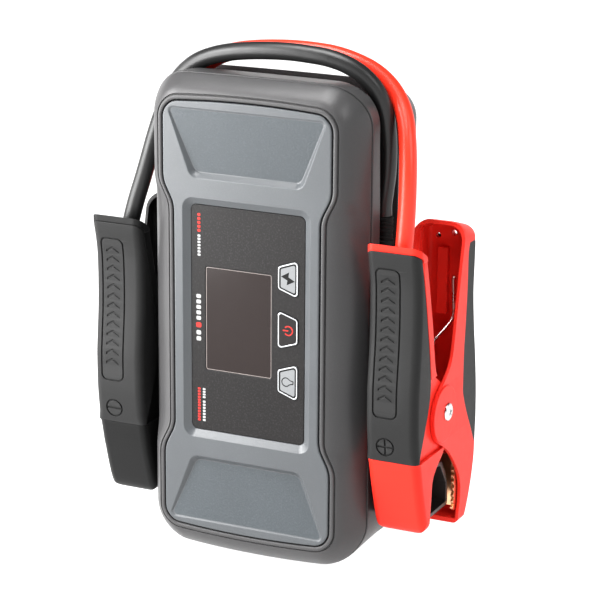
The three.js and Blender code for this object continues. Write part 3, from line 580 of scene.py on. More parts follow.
# ---- Shells ----
def channel_band(inset, deeper):
    """The cable channel over the top and down both sides, wider and deeper for its liner."""
    c = CHANNEL
    around = outline(90, 160, -160, 40)
    core = outline(c["half"] - inset, c["top"] - inset, -150, c["radius"] - inset)
    front = at_depth(around, c["top_front"] - deeper, c["side_front"] - deeper)
    band = loft([front, at_depth(around, c["back"] + deeper)])
    cut(band, [loft([at_depth(core, 0), at_depth(core, BACK + 10)])])
    return overlap(band, box(-100, 100, -1, BACK + 1, c["foot"] - deeper, 170))


# A storage post's section as (y, z).
POST_SECTION = [
    (46, -82.3), (40.5, -88), (36, -95), (35.5, -113), (68, -113), (67.4, -101), (64, -92), (58, -83.6),
]  # fmt: skip


def post_section(by, radius=2.0):
    middle = (52, -100)
    points = []
    for point in POST_SECTION:
        points.append(tuple(v + by * math.copysign(1, v - m) for v, m in zip(point, middle)))
    return rounded(points, [radius, 0, 0, radius, radius, 0, 0, radius], 5)


def post_socket(side):
    ends = sorted((side * (BODY["half"] - 1), side * (BODY["half"] + 10)))
    return prism_x(post_section(GAP), *ends)


SCREWS = ((50, 112), (-50, 112), (50, -112), (-50, -112))
FEET = (("front_right", 28, 32), ("front_left", -28, 32), ("rear_right", 28, 74), ("rear_left", -28, 74))
FOOT_RADIUS, FOOT_TOP = 7, -135.6
LAMP = (-6, 44, 43.5, 51)
PORT_HALF, PORT_BOTTOM, PORT_TOP, PORT_RECESS, HINGE_Z, HINGE_Y = 24, -112, -83, 3, -86.5, BACK - 2.4


def rod(axis, radius, start, end, spot, sides=32):
    return turned(axis, spot, [(start, radius), (end, radius)], sides)


def lamp_outline(by):
    x0, x1, y0, y1 = LAMP
    return rectangle(x0 - by, x1 + by, y0 - by, y1 + by, 2.6 + by)


def shell_with_fittings(outer_rings, cavity_rings, boss_ends, feet, fittings, cuts):
    """A hollow shell: bosses, fittings and the channel's liner trimmed to its outside, then its cut-outs."""
    shell = cut(loft(outer_rings), [loft(cavity_rings)])
    bosses = [rod("y", 4.6, *boss_ends, spot) for spot in SCREWS]
    bosses += [rod("z", FOOT_RADIUS + 2, FOOT_TOP - 6, FOOT_TOP + 2.4, foot[1:]) for foot in feet]
    for fitting in [*bosses, *fittings, channel_band(LINER, LINER)]:
        join(shell, [overlap(fitting, loft(outer_rings))])
    sockets = [rod("z", FOOT_RADIUS + GAP, -150, FOOT_TOP + GAP, foot[1:]) for foot in feet]
    sockets += [post_socket(side) for _, side in SIDES]
    return cut(shell, [channel_band(0, 0), *cuts[0], *sockets, *cuts[1]])


def front_shell():
    lip = (
        (0.7, 0.9), (1.0, 0.45), (1.5, 0.2), (2.3, 0.2), (2.9, 0.45), (3.2, 1.1), (3.35, 1.9), (3.75, 1.9)
    )  # fmt: skip
    edge, rim = body_outline(0), hourglass(4.0)
    outer = [at_depth(hourglass(by), depth) for by, depth in lip]
    for t in (0, 0.12, 0.26, 0.4, 0.55, 0.7, 0.84, 0.94):
        ends, sides = 1.3 + 3.5 * t + 7.2 * t * t, 1.3 + 6.7 * t + 12 * t * t
        outer.append(at_depth(between(rim, edge, t), ends, sides))
    outer += body_rings(
        (11.75, 19.6, -0.25),
        (12.2, 20.2, -0.1),
        (12.7, 20.7, -0.35),
        (12.9, 20.9, -0.8),
        (13.4, 21.4, -0.8),
        (13.6, 21.6, 0.15),
        (14.2, 22.2, 0.4),
        (34, 38, 0.6, 138.7, -138.2),
        (SEAM - 0.8, None, 0.8, 137.5, -137.6),
        (SEAM - GAP / 2, None, 0.4, 137.1, -137.2),
    )
    cavity = body_rings(
        (7.5, None, -22, 117, -117),
        (12, 15, -11, 128, -128),
        (18, 25, -2.4, 136.5, -136),
        (SEAM + 1, None, -1.7, 135, -135.2),
    )
    behind_fascia = [
        loft([at_depth(hourglass(0.7), -1), at_depth(hourglass(0.7), FASCIA_THICK + GAP)]),
        prism_y(rectangle(-33, 34, -62, 62, 4), 0, 8.5),
    ]
    lamp_hole = prism_z(lamp_outline(-1.2), CHANNEL["top"] - 5, CHANNEL["top"] + 1)
    ends = (6, SEAM - GAP / 2)
    return shell_with_fittings(outer, cavity, ends, FEET[:2], [], (behind_fascia, [lamp_hole]))


def rear_shell():
    outer = body_rings(
        (SEAM + GAP / 2, None, 0.4, 137.1, -137.2),
        (SEAM + 0.8, None, 0.8, 137.45, -137.6),
        (62, None, 0.4, 134.8, -136.7, 21.8),
        (72, None, 0, 131.8, -135.8, 19.5),
        (78, None, -0.4, 130.3, -135, 18.8),
        (84, None, -1, 128.6, -133.8, 18),
        (87.4, None, -2.1, 127.4, -132.6, 17.2),
        (90.2, None, -4, 125.6, -130.8, 16),
        (92.6, None, -6.8, 122.8, -128.1, 13.8),
        (BACK, None, -10, 119.6, -125, 11),
    )
    cavity = body_rings(
        (SEAM - 1, None, -1.7, 135, -135.2),
        (72, None, -2.5, 129.3, -133.3),
        (BACK - 10.5, None, -3.6, 126, -131.2),
        (BACK - 5.5, None, -6.5, 123, -128.2),
        (BACK - WALL, None, -11, 118.6, -124),
    )
    half, reach, recess = PORT_HALF, PORT_HALF + 3, BACK - PORT_RECESS
    port_box = box(-reach, reach, recess - 2.5, BACK - 1, PORT_BOTTOM - 3, PORT_TOP + 3)
    screw_holes = [rod("y", 3.8, BACK - 8, BACK + 1, spot) for spot in SCREWS]
    screw_holes += [rod("y", 2.1, SEAM - 1, BACK + 1, spot) for spot in SCREWS]
    port = [
        prism_y(rectangle(-half, half, PORT_BOTTOM, PORT_TOP, 3), recess, BACK + 1),
        prism_y(rectangle(-18, 18, -107, -95, 2), recess - 4, BACK),
        box(-half + 2.5, half - 2.5, HINGE_Y - 2.5, BACK + 1, HINGE_Z - 4.6, HINGE_Z + 3),
        rod("x", 1.2, -half - 2.5, half + 2.5, (HINGE_Y, HINGE_Z), 16),
    ]
    ends = (SEAM + GAP / 2, BACK)
    return shell_with_fittings(outer, cavity, ends, FEET[2:], [port_box], (screw_holes, port))


settle(front_shell(), "front_housing", "pack", "body_shell", "shell", "front_shell", angle=28)
settle(rear_shell(), "rear_housing", "pack", "body_shell", "shell", "rear_shell", angle=28)


# ---- Fascia ----
PANEL = dict(end=(48.8, 121.6, 0.5), waist=(33.0, 85.3, 2.8))
ROUND = 0.45  # of a recess's crest and foot


def recess_depth(outside, depth):
    """Depth of a 45 degree recess wall at a distance outside its floor's edge, rounded at crest and foot."""
    if outside <= -ROUND:
        return depth
    if outside >= depth + ROUND:
        return 0.0
    if outside < ROUND:
        return depth - (outside + ROUND) ** 2 / (4 * ROUND)
    if outside > depth - ROUND:
        return (depth + ROUND - outside) ** 2 / (4 * ROUND)
    return depth - outside


def ramped_panel(up):
    """Cutter for a panel that is shallow at the fascia's end and deepens towards the waist."""
    (x1, z1, d1), (x0, z0, d0) = PANEL["end"], PANEL["waist"]
    floor = [(-x0, z0), (x0, z0), (x1, z1), (-x1, z1)]
    rings = []
    for part in (1.9, 1.08, 1.0, 0.9, 0.78, 0.5, 0.2, 0.1, 0.0, -0.12):
        ring = []
        base = rounded(offset(floor, 0.001), [5, 5, 2.2, 2.2], 6)
        wide = rounded(offset(floor, 1.0), [5.6, 5.6, 2.6, 2.6], 6)
        for (bx, bz), (wx, wz) in zip(base, wide):
            depth = d1 + (d0 - d1) * (z1 - bz) / (z1 - z0)
            reach = part * (depth + ROUND) if part > 0 else part * 4
            outside = min(reach, depth + ROUND)
            x, z = bx + (wx - bx) * outside, bz + (wz - bz) * outside
            y = recess_depth(outside, depth)
            if part > 1:
                y = -1.5 if part > 1.5 else -0.04
            ring.append((x, y, up * z))
        rings.append(ring)
    return loft(rings)


def overlay_recess():
    """Cutter for the sloped frame around the overlay."""
    rings = []
    depth = OVERLAY_FACE + 0.1
    for outside in (None, 4.9, 4.6, 4.3, 3.9, 3.4, 0.9, GAP):
        by = 4.9 if outside is None else outside
        part = (by - GAP) / (4.9 - GAP)
        if outside is None:
            y = -1.5
        elif outside > 3.6:
            y = -0.04 + 0.72 * ((4.9 - outside) / 1.3) ** 2
        else:
            y = 0.45 + (depth - 0.45) * (3.9 - outside) / (3.9 - GAP)
        half, tall, radius = OVERLAY_HALF + by, OVERLAY_TALL + by, 3.2 + 3.6 * part
        rings.append([(x, y, z) for x, z in rectangle(-half, half, -tall, tall, radius, 8)])
    return loft(rings)


def overlay_outline(by):
    half, tall = OVERLAY_HALF + by, OVERLAY_TALL + by
    return rectangle(-half, half, -tall, tall, 3.2 + by, 8)


KEYS = {
    "start": [(KEY_LEFT, 23.8), (KEY_RIGHT, 19.6), (KEY_RIGHT, 41), (KEY_LEFT, 36.6)],
    "power": [(KEY_LEFT, -11.2), (KEY_RIGHT, -7.2), (KEY_RIGHT, 7), (KEY_LEFT, 11)],
    "light": [(KEY_LEFT, -36.6), (KEY_RIGHT, -41), (KEY_RIGHT, -19.6), (KEY_LEFT, -23.8)],
}


def key_outline(key, by, radius=1.9):
    return rounded(offset(KEYS[key], by), radius, 5)


def window_outline(by, radius=1.2):
    x0, x1, z0, z1 = WINDOW
    return rectangle(x0 - by, x1 + by, z0 - by, z1 + by, radius, 5)


def fascia():
    rim = [(-1.0, 0), (-0.62, 0.06), (-0.3, 0.22), (-0.08, 0.5), (0, 0.9), (0, FASCIA_THICK)]
    plate = loft([at_depth(hourglass(by), y) for by, y in rim])
    return cut(
        plate,
        [
            ramped_panel(1),
            ramped_panel(-1),
            overlay_recess(),
            prism_y(overlay_outline(GAP), 1, OVERLAY_FACE + 1.5),
            prism_y(window_outline(-2), 3, FASCIA_THICK + 1),
            *[prism_y(key_outline(key, GAP), 3, FASCIA_THICK + 1) for key in KEYS],
        ],
    )


plate = fascia()
settle(plate, "fascia_panel", "pack", "fascia", "fascia", "fascia_plate", angle=24, extra=("pebble",))


def mark_panels(obj):
    """Gives the floors of the two ramped panels their own pebbled finish."""
    (x1, z1, _), (x0, z0, _) = PANEL["end"], PANEL["waist"]
    to_local = TO_FRAME.inverted()
    for face in obj.data.polygons:
        x, y, z = to_local @ face.center
        edge = x0 + (x1 - x0) * (abs(z) - z0) / (z1 - z0)
        if 0.3 < y < 3.2 and z0 < abs(z) < z1 and abs(x) < edge and abs(face.normal.y) > 0.99:
            face.material_index = 1


mark_panels(plate)

# ---- Overlay, display and keys ----
overlay = prism_y(overlay_outline(0), OVERLAY_FACE, OVERLAY_FACE + 1.2)
window_levels = ((1.1, OVERLAY_FACE - 0.5), (0.1, OVERLAY_FACE + 0.5), (0.1, 10))
window = loft([[(x, y, z) for x, z in window_outline(by, 1.2 + by)] for by, y in window_levels])
cut(overlay, [window, *[prism_y(key_outline(key, GAP), 0, 10) for key in KEYS]])
settle(overlay, "overlay_film", "pack", "dark_overlay", "overlay", "control_overlay", bevel=0.25)
glass = prism_y(window_outline(0), OVERLAY_FACE + 0.3, OVERLAY_FACE + 1.2)
settle(glass, "display_glass", "pack", "screen", "glass", "display_window", bevel=0.15)
# A thin light band round the display window, a painted highlight in place of the glass edge's glint.
glint = band_y(window_outline(0.08), window_outline(-0.3, 0.9), OVERLAY_FACE + 0.2, OVERLAY_FACE + 0.6)
settle(glint, "display_painted_glint", "pack", "screen", "glass_painted_glint")

for key in KEYS:
    body, middle = f"{key}_key", sum(z for _, z in KEYS[key]) / 4
    dark = key == "power"
    base = prism_y(key_outline(key, 0), KEY_FACE + 0.15, FASCIA_THICK + 0.2)
    join(base, [rod("y", 2.4, FASCIA_THICK - 0.5, 7.1, ((KEY_LEFT + KEY_RIGHT) / 2, middle))])
    face_slot = "dark_overlay" if dark else "light_key"
    face_look = "key_dark" if dark else "key"
    settle(base, f"{key}_key_cap", body, face_slot, face_look, f"{key}_button", bevel=0.3)
    rim = band_y(key_outline(key, -0.05), key_outline(key, -0.8, 1.5), KEY_FACE, KEY_FACE + 0.5)
    settle(rim, f"{key}_key_rim", body, "light_key", "chrome", bevel=0.18)
    if not dark:
        outer, inner = key_outline(key, -0.8, 1.5), key_outline(key, -1.65, 1.0)
        line = band_y(outer, inner, KEY_FACE + 0.1, KEY_FACE + 0.4)
        settle(line, f"{key}_key_line", body, "dark_overlay", "line")

ICON_FRONT, ICON_BACK = KEY_FACE + 0.08, KEY_FACE + 0.4


def arc(cx, cz, radius, start, end, steps=24):
    angles = [math.radians(start + (end - start) * i / steps) for i in range(steps + 1)]
    return [(cx + radius * math.cos(a), cz + radius * math.sin(a)) for a in angles]


def stroke(path, width):
    """The outline of an open path drawn with a pen of a width."""
    pts = [Vector(p) for p in path]
    left, right = [], []
    for i, p in enumerate(pts):
        direction = (pts[min(i + 1, len(pts) - 1)] - pts[max(i - 1, 0)]).normalized()
        normal = Vector((-direction.y, direction.x)) * width / 2
        left.append(tuple(p + normal))
        right.append(tuple(p - normal))
    return left + right[::-1]


def icon(name, body, look, shape):
    settle(prism_y(shape, ICON_FRONT, ICON_BACK), name, body, "dark_overlay", look)


KEY_X = (KEY_LEFT + KEY_RIGHT) / 2
# The display is read with its left side down, so the symbols' upward direction is -X.
icon("power_icon_ring", "power_key", "red_mark", stroke(arc(KEY_X + 0.4, 0, 2.6, 220, 500), 0.75))
icon("power_icon_bar", "power_key", "red_mark", rectangle(KEY_X - 3.1, KEY_X + 0.4, -0.38, 0.38, 0.3))
BOLT = [(-3.2, 0.6), (0.5, 2.5), (0.2, 0.6), (3.2, -0.8), (-0.6, -2.5), (-0.2, -0.7)]
icon("start_icon_bolt", "start_key", "line", [(KEY_X + 1.35 * x, 30.3 + 1.5 * z) for x, z in BOLT])
icon("light_icon_bulb", "light_key", "line", stroke(arc(KEY_X - 1, -30.3, 2.5, 38, 322), 0.55))
for name, path in {
    "neck_a": [(KEY_X + 0.9, -28.7), (KEY_X + 2.4, -29.4), (KEY_X + 3.4, -29.4)],
    "neck_b": [(KEY_X + 0.9, -31.9), (KEY_X + 2.4, -31.2), (KEY_X + 3.4, -31.2)],
    "base": [(KEY_X + 3.5, -29.3), (KEY_X + 3.5, -31.3)],
}.items():
    icon(f"light_icon_{name}", "light_key", "line", stroke(path, 0.5))


def printed_row(name, look, x, z0, z1, count, width):
    """A row of plain blocks, one for each letter that was printed there."""
    pitch = (z1 - z0) / count
    blocks = []
    for i in range(count):
        low = z0 + pitch * i + 0.14 * pitch
        block = rectangle(x - width / 2, x + width / 2, low, low + 0.72 * pitch, 0.22 * pitch, 3)
        blocks.append(prism_y(block, OVERLAY_FACE - 0.06, OVERLAY_FACE + 0.2))
    slot = "light_key" if look == "white_mark" else "dark_overlay"
    settle(join(blocks[0], blocks[1:]), name, "pack", slot, look)


ROWS = (
    ("red_mark", -30.9, 50.5, 62, 5, 1.9),
    ("white_mark", -30.9, 36.5, 49.5, 7, 1.9),
    ("white_mark", -31.3, -1.6, 14.6, 5, 3.0),
    ("red_mark", -31.3, -6.2, -2.0, 1, 3.4),
    ("white_mark", -31.3, -14, -6.8, 2, 3.0),
    ("red_mark", -31.2, -62, -41.5, 12, 1.8),
    ("white_mark", -28.0, -62, -49, 7, 1.8),
    ("white_mark", -28.0, -48, -41.5, 4, 1.8),
)
for number, row in enumerate(ROWS, 1):
    printed_row(f"overlay_row_{number}", *row)

# ---- Lamp, port, screws and feet ----
lens = prism_z(lamp_outline(0), CHANNEL["top"] + GAP, CHANNEL["top"] + 1.5)
join(lens, [prism_z(lamp_outline(-1.5), CHANNEL["top"] - 2.2, CHANNEL["top"] + 1)])
settle(lens, "lamp_window", "pack", "lamp_lens", "lens", "lamp_lens", bevel=0.4)

half = PORT_HALF
flap = prism_y(rectangle(-half + 0.5, half - 0.5, PORT_BOTTOM + 0.5, HINGE_Z - 1.9, 2.6), 91.4, 93.7)
bridge = box(-half + 3, half - 3, HINGE_Y - 0.3, HINGE_Y + 1.9, HINGE_Z - 4, HINGE_Z)
join(flap, [bridge, rod("x", 1.9, -half + 3, half - 3, (HINGE_Y + 0.1, HINGE_Z))])
cut(flap, [rod("x", 1.3, -40, 40, (HINGE_Y, HINGE_Z))])
for i in range(5):
    z = PORT_BOTTOM + 2.2 + 1.3 * i
    cut(flap, [box(-7, 7, 93.35, 95, z, z + 0.6)])
settle(flap, "port_flap_rubber", "port_flap", "rubber_black", "rubber", "port_cover", bevel=0.3)

for i, spot in enumerate(SCREWS):
    head = turned("y", spot, [(86.3, 3.4), (88.0, 3.4), (88.5, 2.9), (88.75, 1.6)], 40)
    x, z = spot
    cut(head, [box(x - a, x + a, 87.6, 90, z - b, z + b) for a, b in ((1.9, 0.55), (0.55, 1.9))])
    join(head, [rod("y", 1.7, 30, 87, spot)])
    settle(head, f"case_screw_body_{i + 1}", "pack", "steel", "steel", f"case_screw_{i + 1}", bevel=0.12)

for name, x, y in FEET:
    profile = [(FLOOR_Z, 5.9), (FLOOR_Z + 0.3, 6.6), (FLOOR_Z + 1.1, FOOT_RADIUS), (FOOT_TOP, FOOT_RADIUS)]
    foot = turned("z", (x, y), profile, 40)
    settle(foot, f"foot_pad_{name}", "pack", "rubber_black", "rubber", f"foot_{name}")

for name, side in SIDES:
    spot = (side * 64.2, 45)
    profile = [(42.3, 6.2), (48.0, 6.2), (48.3, 5.9)]
    for i in range(6):
        z = 48.6 + 2.1 * i
        profile += [(z, 5.35), (z + 0.8, 5.35), (z + 1.0, 5.7), (z + 1.9, 5.7)]
    gland = turned("z", spot, profile + [(61.4, 5.35), (61.7, 5.1)], 40)
    settle(gland, f"gland_{name}", "pack", "rubber_black", "rubber", f"cable_gland_{name}", angle=40)

    root, tip = BODY["half"] - 1 + GAP, 98
    post = prism_x(post_section(0), *sorted((side * root, side * tip)))
    cut(post, [prism_x(post_section(-2.2, 1.2), *sorted((side * (root + 4), side * (tip + 1))))])
    node = f"storage_post_{name}"
    settle(post, f"post_{name}", "pack", "post_plastic", "post", node, bevel=0.6, segments=3)


# ---- Spring clamps ----
CLAMP_X, BLACK_DROP = 87.3, 3
ARM_HALF, EAR_HALF, ARM_WALL = 16.3, 14.2, 1.8
PIVOT_Y, PIVOT_Z, PIVOT_R, PIVOT_REACH = 49.5, -50, 2.5, 16.7
REAR_TOP = 55  # of the rear handle
SECTION_STEPS = 7

# Profiles of the arms and grips as (z, y).
# fmt: off
HANDLE_BACK = [
    (56.4, 13.2), (51, 15.6), (46, 17.2), (26, 22.4), (4, 27.8), (-18, 32.2), (-22, 33.6), (-24.5, 35.2),
]
EAR_BACK = [
    (-22, 33.6), (-24.5, 35.2), (-31.5, 45), (-38, 53), (-44, 57.5), (-50, 59.5), (-56, 58.5), (-62, 56),
    (-66.5, 53), (-70, 49.6), (-73, 47.6),
]
JAW_FRONT = [
    (-70.7, 9.3), (-76, 10.9), (-82, 12.3), (-87.6, 13.8), (-93.5, 15.6), (-105, 19.2), (-112.5, 22.2),
    (-115.5, 24.2), (-117, 26),
]
JAW_BACK = [
    (-70.7, 48.4), (-74, 46.2), (-78, 40.5), (-81, 36.4), (-85.5, 32.4), (-91, 31), (-97, 30.6),
    (-107, 29.4), (-117, 28.8),
]
GRIP_FRONT = [
    (51.9, 4.6), (48, 5.2), (40, 7), (30, 8.4), (15, 8.8), (0, 8.4), (-16, 7), (-31, 5.9), (-47, 6.1),
    (-62, 7.6), (-70.4, 8.8),
]
GRIP_BACK = [
    (51.9, 9.6), (48, 10.6), (28, 16), (6, 20.9), (-16, 25.2), (-28, 26.6), (-34, 26.1), (-40, 24.7),
    (-51, 20.2), (-61.5, 15.6), (-67, 13.2), (-70.4, 12.6),
]
REAR_FRONT = [
    (53, 74), (50, 72.6), (38, 69.6), (21, 65.7), (0.5, 61.6), (-12, 59), (-19.5, 57), (-25, 53.4),
    (-31.6, 44.6), (-37, 35.8), (-43.5, 31), (-49.5, 29.6), (-56, 30.8), (-62.3, 34.4), (-67, 40.5),
    (-70, 46), (-75.6, 54), (-83, 61.6), (-90, 67.6), (-97, 72), (-104, 73.8), (-112, 73.4), (-120, 71.4),
    (-125.4, 70.5),
]
REAR_BACK = [
    (53, 90.4), (50, 91), (36, 91.2), (18.7, 90.6), (1.6, 91.8), (-12.7, 93.6), (-27.5, 95), (-43.5, 96.7),
    (-56, 97.1), (-69.6, 97.4), (-83, 98.4), (-90, 98), (-99, 96), (-108, 93), (-116.5, 89.2),
    (-122, 86.2), (-125.4, 83.6),
]
REAR_GRIP_FRONT = [
    (42.5, 79.6), (37, 77.8), (18, 77.5), (-3, 76.2), (-24, 74.4), (-44, 74.3), (-51, 76.8), (-59, 80.8),
    (-72, 88.7), (-81, 93.6),
]
REAR_GRIP_BACK = [
    (42.5, 92.4), (40, 93), (32, 92.8), (13.5, 92), (-9, 94.2), (-32, 98), (-53, 100.2), (-66, 100.6),
    (-77, 100), (-81, 99.8),
]
# fmt: on


def levels(front, back, top, bottom, step=1.7):
    """Levels (z, front y, back y) down an arm; front and back are profiles, or one number each."""
    count = max(2, round((top - bottom) / step) + 1)
    zs = [top + (bottom - top) * i / (count - 1) for i in range(count)]
    ys = [[side] * count if isinstance(side, (int, float)) else steady(side, zs) for side in (front, back)]
    return list(zip(zs, *ys))


def shifted(profile, by):
    return [(z, y + by) for z, y in profile]


def arm_ring(z, front, back, half, radius, round_back):
    radius = min(radius, (back - front) * 0.9)
    centre = back - radius if round_back else front + radius
    reach = 1 if round_back else -1
    points = []
    for side in (1, -1):
        for i in range(SECTION_STEPS + 1):
            part = i if side > 0 else SECTION_STEPS - i
            angle = math.pi / 2 * part / SECTION_STEPS
            x = side * (half - radius + radius * math.cos(angle))
            points.append((x, centre + reach * radius * math.sin(angle), z))
    open_y = front if round_back else back
    return [*points, (-half, open_y, z), (half, open_y, z)]


def arm(rows, half, radius, round_back=False):
    return loft([arm_ring(*row, half, radius, round_back) for row in rows])


def rounded_end(half, top, bottom, radius):
    """A slab seen from the front whose bottom corners are round, to trim an arm's end."""
    corners = [(-half, bottom), (half, bottom), (half, top), (-half, top)]
    return prism_y(rounded(corners, [radius, radius, 0, 0], 8), -20, 140)


RIM_TOP, RIM_TALL = 56.6, 4.3


def front_grip_space(wall, gap):
    """The volume that the front grip wraps, and the core that stays inside it."""
    outside = arm(levels(shifted(GRIP_FRONT, -gap), shifted(GRIP_BACK, gap), 51.9 + gap, -70.4 - gap), *wall)
    core = arm(levels(shifted(GRIP_FRONT, 2 + gap), 60, 54, -72), ARM_HALF - 2.5 - gap, 3)
    return cut(outside, [core, above_slant(RIM_TOP - RIM_TALL + gap)])


def rear_grip_space(wall, gap):
    """The same for the rear grip."""
    rows = levels(shifted(REAR_GRIP_FRONT, -gap), shifted(REAR_GRIP_BACK, gap), 42.5 + gap, -81 - gap)
    outside = arm(rows, *wall, True)
    core = arm(levels(40, shifted(REAR_GRIP_BACK, -2 - gap), 45, -83), ARM_HALF - 2.5 - gap, 3, True)
    return cut(outside, [core])


def above_slant(z_at_front):
    """Cutter for everything above a top edge that falls towards the back of the front handle."""
    slope = 0.6
    return prism_x([(-2, z_at_front + 6 * slope), (-2, 80), (60, 80), (60, z_at_front - 56 * slope)], -30, 30)


def falling_end(half, top, radius):
    """Everything below a round-cornered top edge that falls towards the back of the rear handle."""
    shape = rounded([(-half, -140), (half, -140), (half, top), (-half, top)], [0, 0, radius, radius], 8)
    return loft([[(x, y, z - fall) for x, z in shape] for y, fall in ((-20, 0), (76, 0), (140, 19))])


def badge_groove(outer, depth, inner=None):
    """Cutter that engraves an outline to one depth below the curved face of the front grip."""
    shape = prism_y(outer, -5, 15) if inner is None else band_y(outer, inner, -5, 15)
    rows = levels(shifted(GRIP_FRONT, depth), 60, 60, -80)
    return cut(shape, [arm(rows, ARM_HALF - 0.5 - depth, 5 - depth)])


def front_grip(positive):
    """The front grip with its long badge of chevrons and, below it, a ringed plus or minus sign."""
    grip = front_grip_space((ARM_HALF - 0.5, 5), 0)
    middle, mark_z, line, bar = -3.3, -61.5, 0.5, 4.7

    def bar_groove(half_x, half_z):
        shape = rectangle(middle - half_x, middle + half_x, mark_z - half_z, mark_z + half_z, 0.4, 3)
        return badge_groove(shape, 0.7)

    frame_outer, frame_inner = rectangle(-10.9, 4.3, -44.4, 42.4, 4), rectangle(-10.0, 3.4, -43.5, 41.5, 3.2)
    engraving = [
        badge_groove(frame_outer, 0.75, frame_inner),
        badge_groove(arc(middle, mark_z, 5.6, 0, 345, 23), 0.75, arc(middle, mark_z, 4.7, 0, 345, 23)),
        bar_groove(bar, line),
    ]
    if positive:
        engraving.append(bar_groove(line, bar))
    for i in range(13):
        z = -34 + 5.6 * i
        lower = [(middle - 4.2, z), (middle, z + 2.4), (middle + 4.2, z)]
        engraving.append(badge_groove([*lower, *[(x, low + 1.3) for x, low in reversed(lower)]], 0.45))
    return cut(grip, engraving)


def front_arm():
    outer = arm(levels(5.4, [(57, 13.4), (46, 17.6)], 57, 46.5, 1.5), ARM_HALF + 0.1, 5)
    join(
        outer,
        [
            arm(levels([(60, 10), (-24.5, 10)], HANDLE_BACK, 53, -24.5), ARM_HALF - 0.3, 4),
            arm(levels([(-20, 10), (-73, 10.6)], EAR_BACK, -22, -73), EAR_HALF, 3),
            overlap(
                arm(levels(JAW_FRONT, JAW_BACK, -70.7, -117), ARM_HALF - 0.3, 5),
                rounded_end(ARM_HALF - 0.3, -60, -117, 7),
            ),
        ],
    )
    return cut(
        outer,
        [
            front_grip_space((ARM_HALF + 5, 1), GAP),
            above_slant(RIM_TOP),
            arm(levels([(60, 11.4), (15, 12.4), (-22, 11), (-73, 13.4)], 80, 60, -70.9), EAR_HALF - 2.2, 2),
            arm(levels(shifted(JAW_FRONT, 2.2), 60, -70.5, -114.6), ARM_HALF - 2.3, 3),
            rod("x", PIVOT_R + GAP, -30, 30, (PIVOT_Y, PIVOT_Z)),
        ],
    )


def rear_arm():
    outer = arm(levels(REAR_FRONT, REAR_BACK, REAR_TOP, -125.4), ARM_HALF, 5, True)
    overlap(outer, falling_end(ARM_HALF, REAR_TOP, 10))
    overlap(outer, rounded_end(ARM_HALF, 80, -125.4, 3))
    for side in (1, -1):
        disc = sorted((side * x, radius) for x, radius in ((16.2, 16.6), (16.9, 16.6), (17.1, 16.2)))
        join(outer, [turned("x", (46.2, -50.3), disc, 64)])
    half, top = ARM_HALF - ARM_WALL, REAR_TOP - 2.3
    room = arm(levels(-20, shifted(REAR_BACK, -4.4), top, -122.6), ARM_HALF - 4, 3, True)
    wide = arm(levels(-20, shifted(REAR_GRIP_FRONT, -1.5), top, -86.5), half, 2, True)
    overlap(join(room, [wide]), falling_end(half, top, 8.4))
    cut(
        outer,
        [
            rear_grip_space((ARM_HALF + 5, 1), GAP),
            room,
            arm(levels(-20, shifted(REAR_BACK, -2.4), -86, -122.6), half, 3, True),
            rod("x", PIVOT_R + GAP, -30, 30, (PIVOT_Y, PIVOT_Z)),
            *[rod("y", 1.6, 80, 110, spot) for spot in ((-6.5, 43), (3.5, 45.5))],
        ],
    )
    rib = prism_y(rounded([(-5.4, -3), (1, -3), (1, 37), (-5.4, 37)], 1, 4), 83.4, 90.2)
    return join(outer, [rib])


def spring_path():
    """The coil round the pivot, with one leg to the front arm and one, bent, to the rear arm."""
    coil_radius, turns, width, count = 6.2, 3.25, 9, 12
    coil = []
    for i in range(int(count * turns) + 1):
        angle = math.pi + 2 * math.pi * i / count
        x = -width / 2 + width * i / (count * turns)
        coil.append((x, PIVOT_Y + coil_radius * math.cos(angle), PIVOT_Z + coil_radius * math.sin(angle)))
    start = [(-width / 2, 27, -2), (-width / 2, 36, -22)]
    up = [(4, 57, -50), (0, 64, -34), (-2, 72.5, -17), (1.2, 77.7, -11.6), (4, 83.4, -6.4), (4.4, 85.6, -3)]
    return [*start, *coil, *up, (4.5, 85.2, 8), (4.5, 84.3, 18.6), (4.5, 85.6, 19.6), (4.5, 88.2, 19.4)]


def pivot_pin():
    reach = PIVOT_REACH + 0.6
    head = [(reach + 1.6, 2), (reach + 1.3, 4), (reach + 0.8, 4.9), (reach, 5.2), (reach, PIVOT_R)]
    pin = turned("x", (PIVOT_Y, PIVOT_Z), [*[(-x, radius) for x, radius in head], *reversed(head)], 40)
    for end in (1, -1):
        x0, x1 = sorted((end * (reach + 0.9), end * (reach + 3)))
        for turn in (25, 115):
            c, s = math.cos(math.radians(turn)), math.sin(math.radians(turn))
            corners = [(2.5, 0.45), (-2.5, 0.45), (-2.5, -0.45), (2.5, -0.45)]
            slot = [(PIVOT_Y + a * c - b * s, PIVOT_Z + a * s + b * c) for a, b in corners]
            cut(pin, [prism_x(slot, x0, x1)])
    return pin


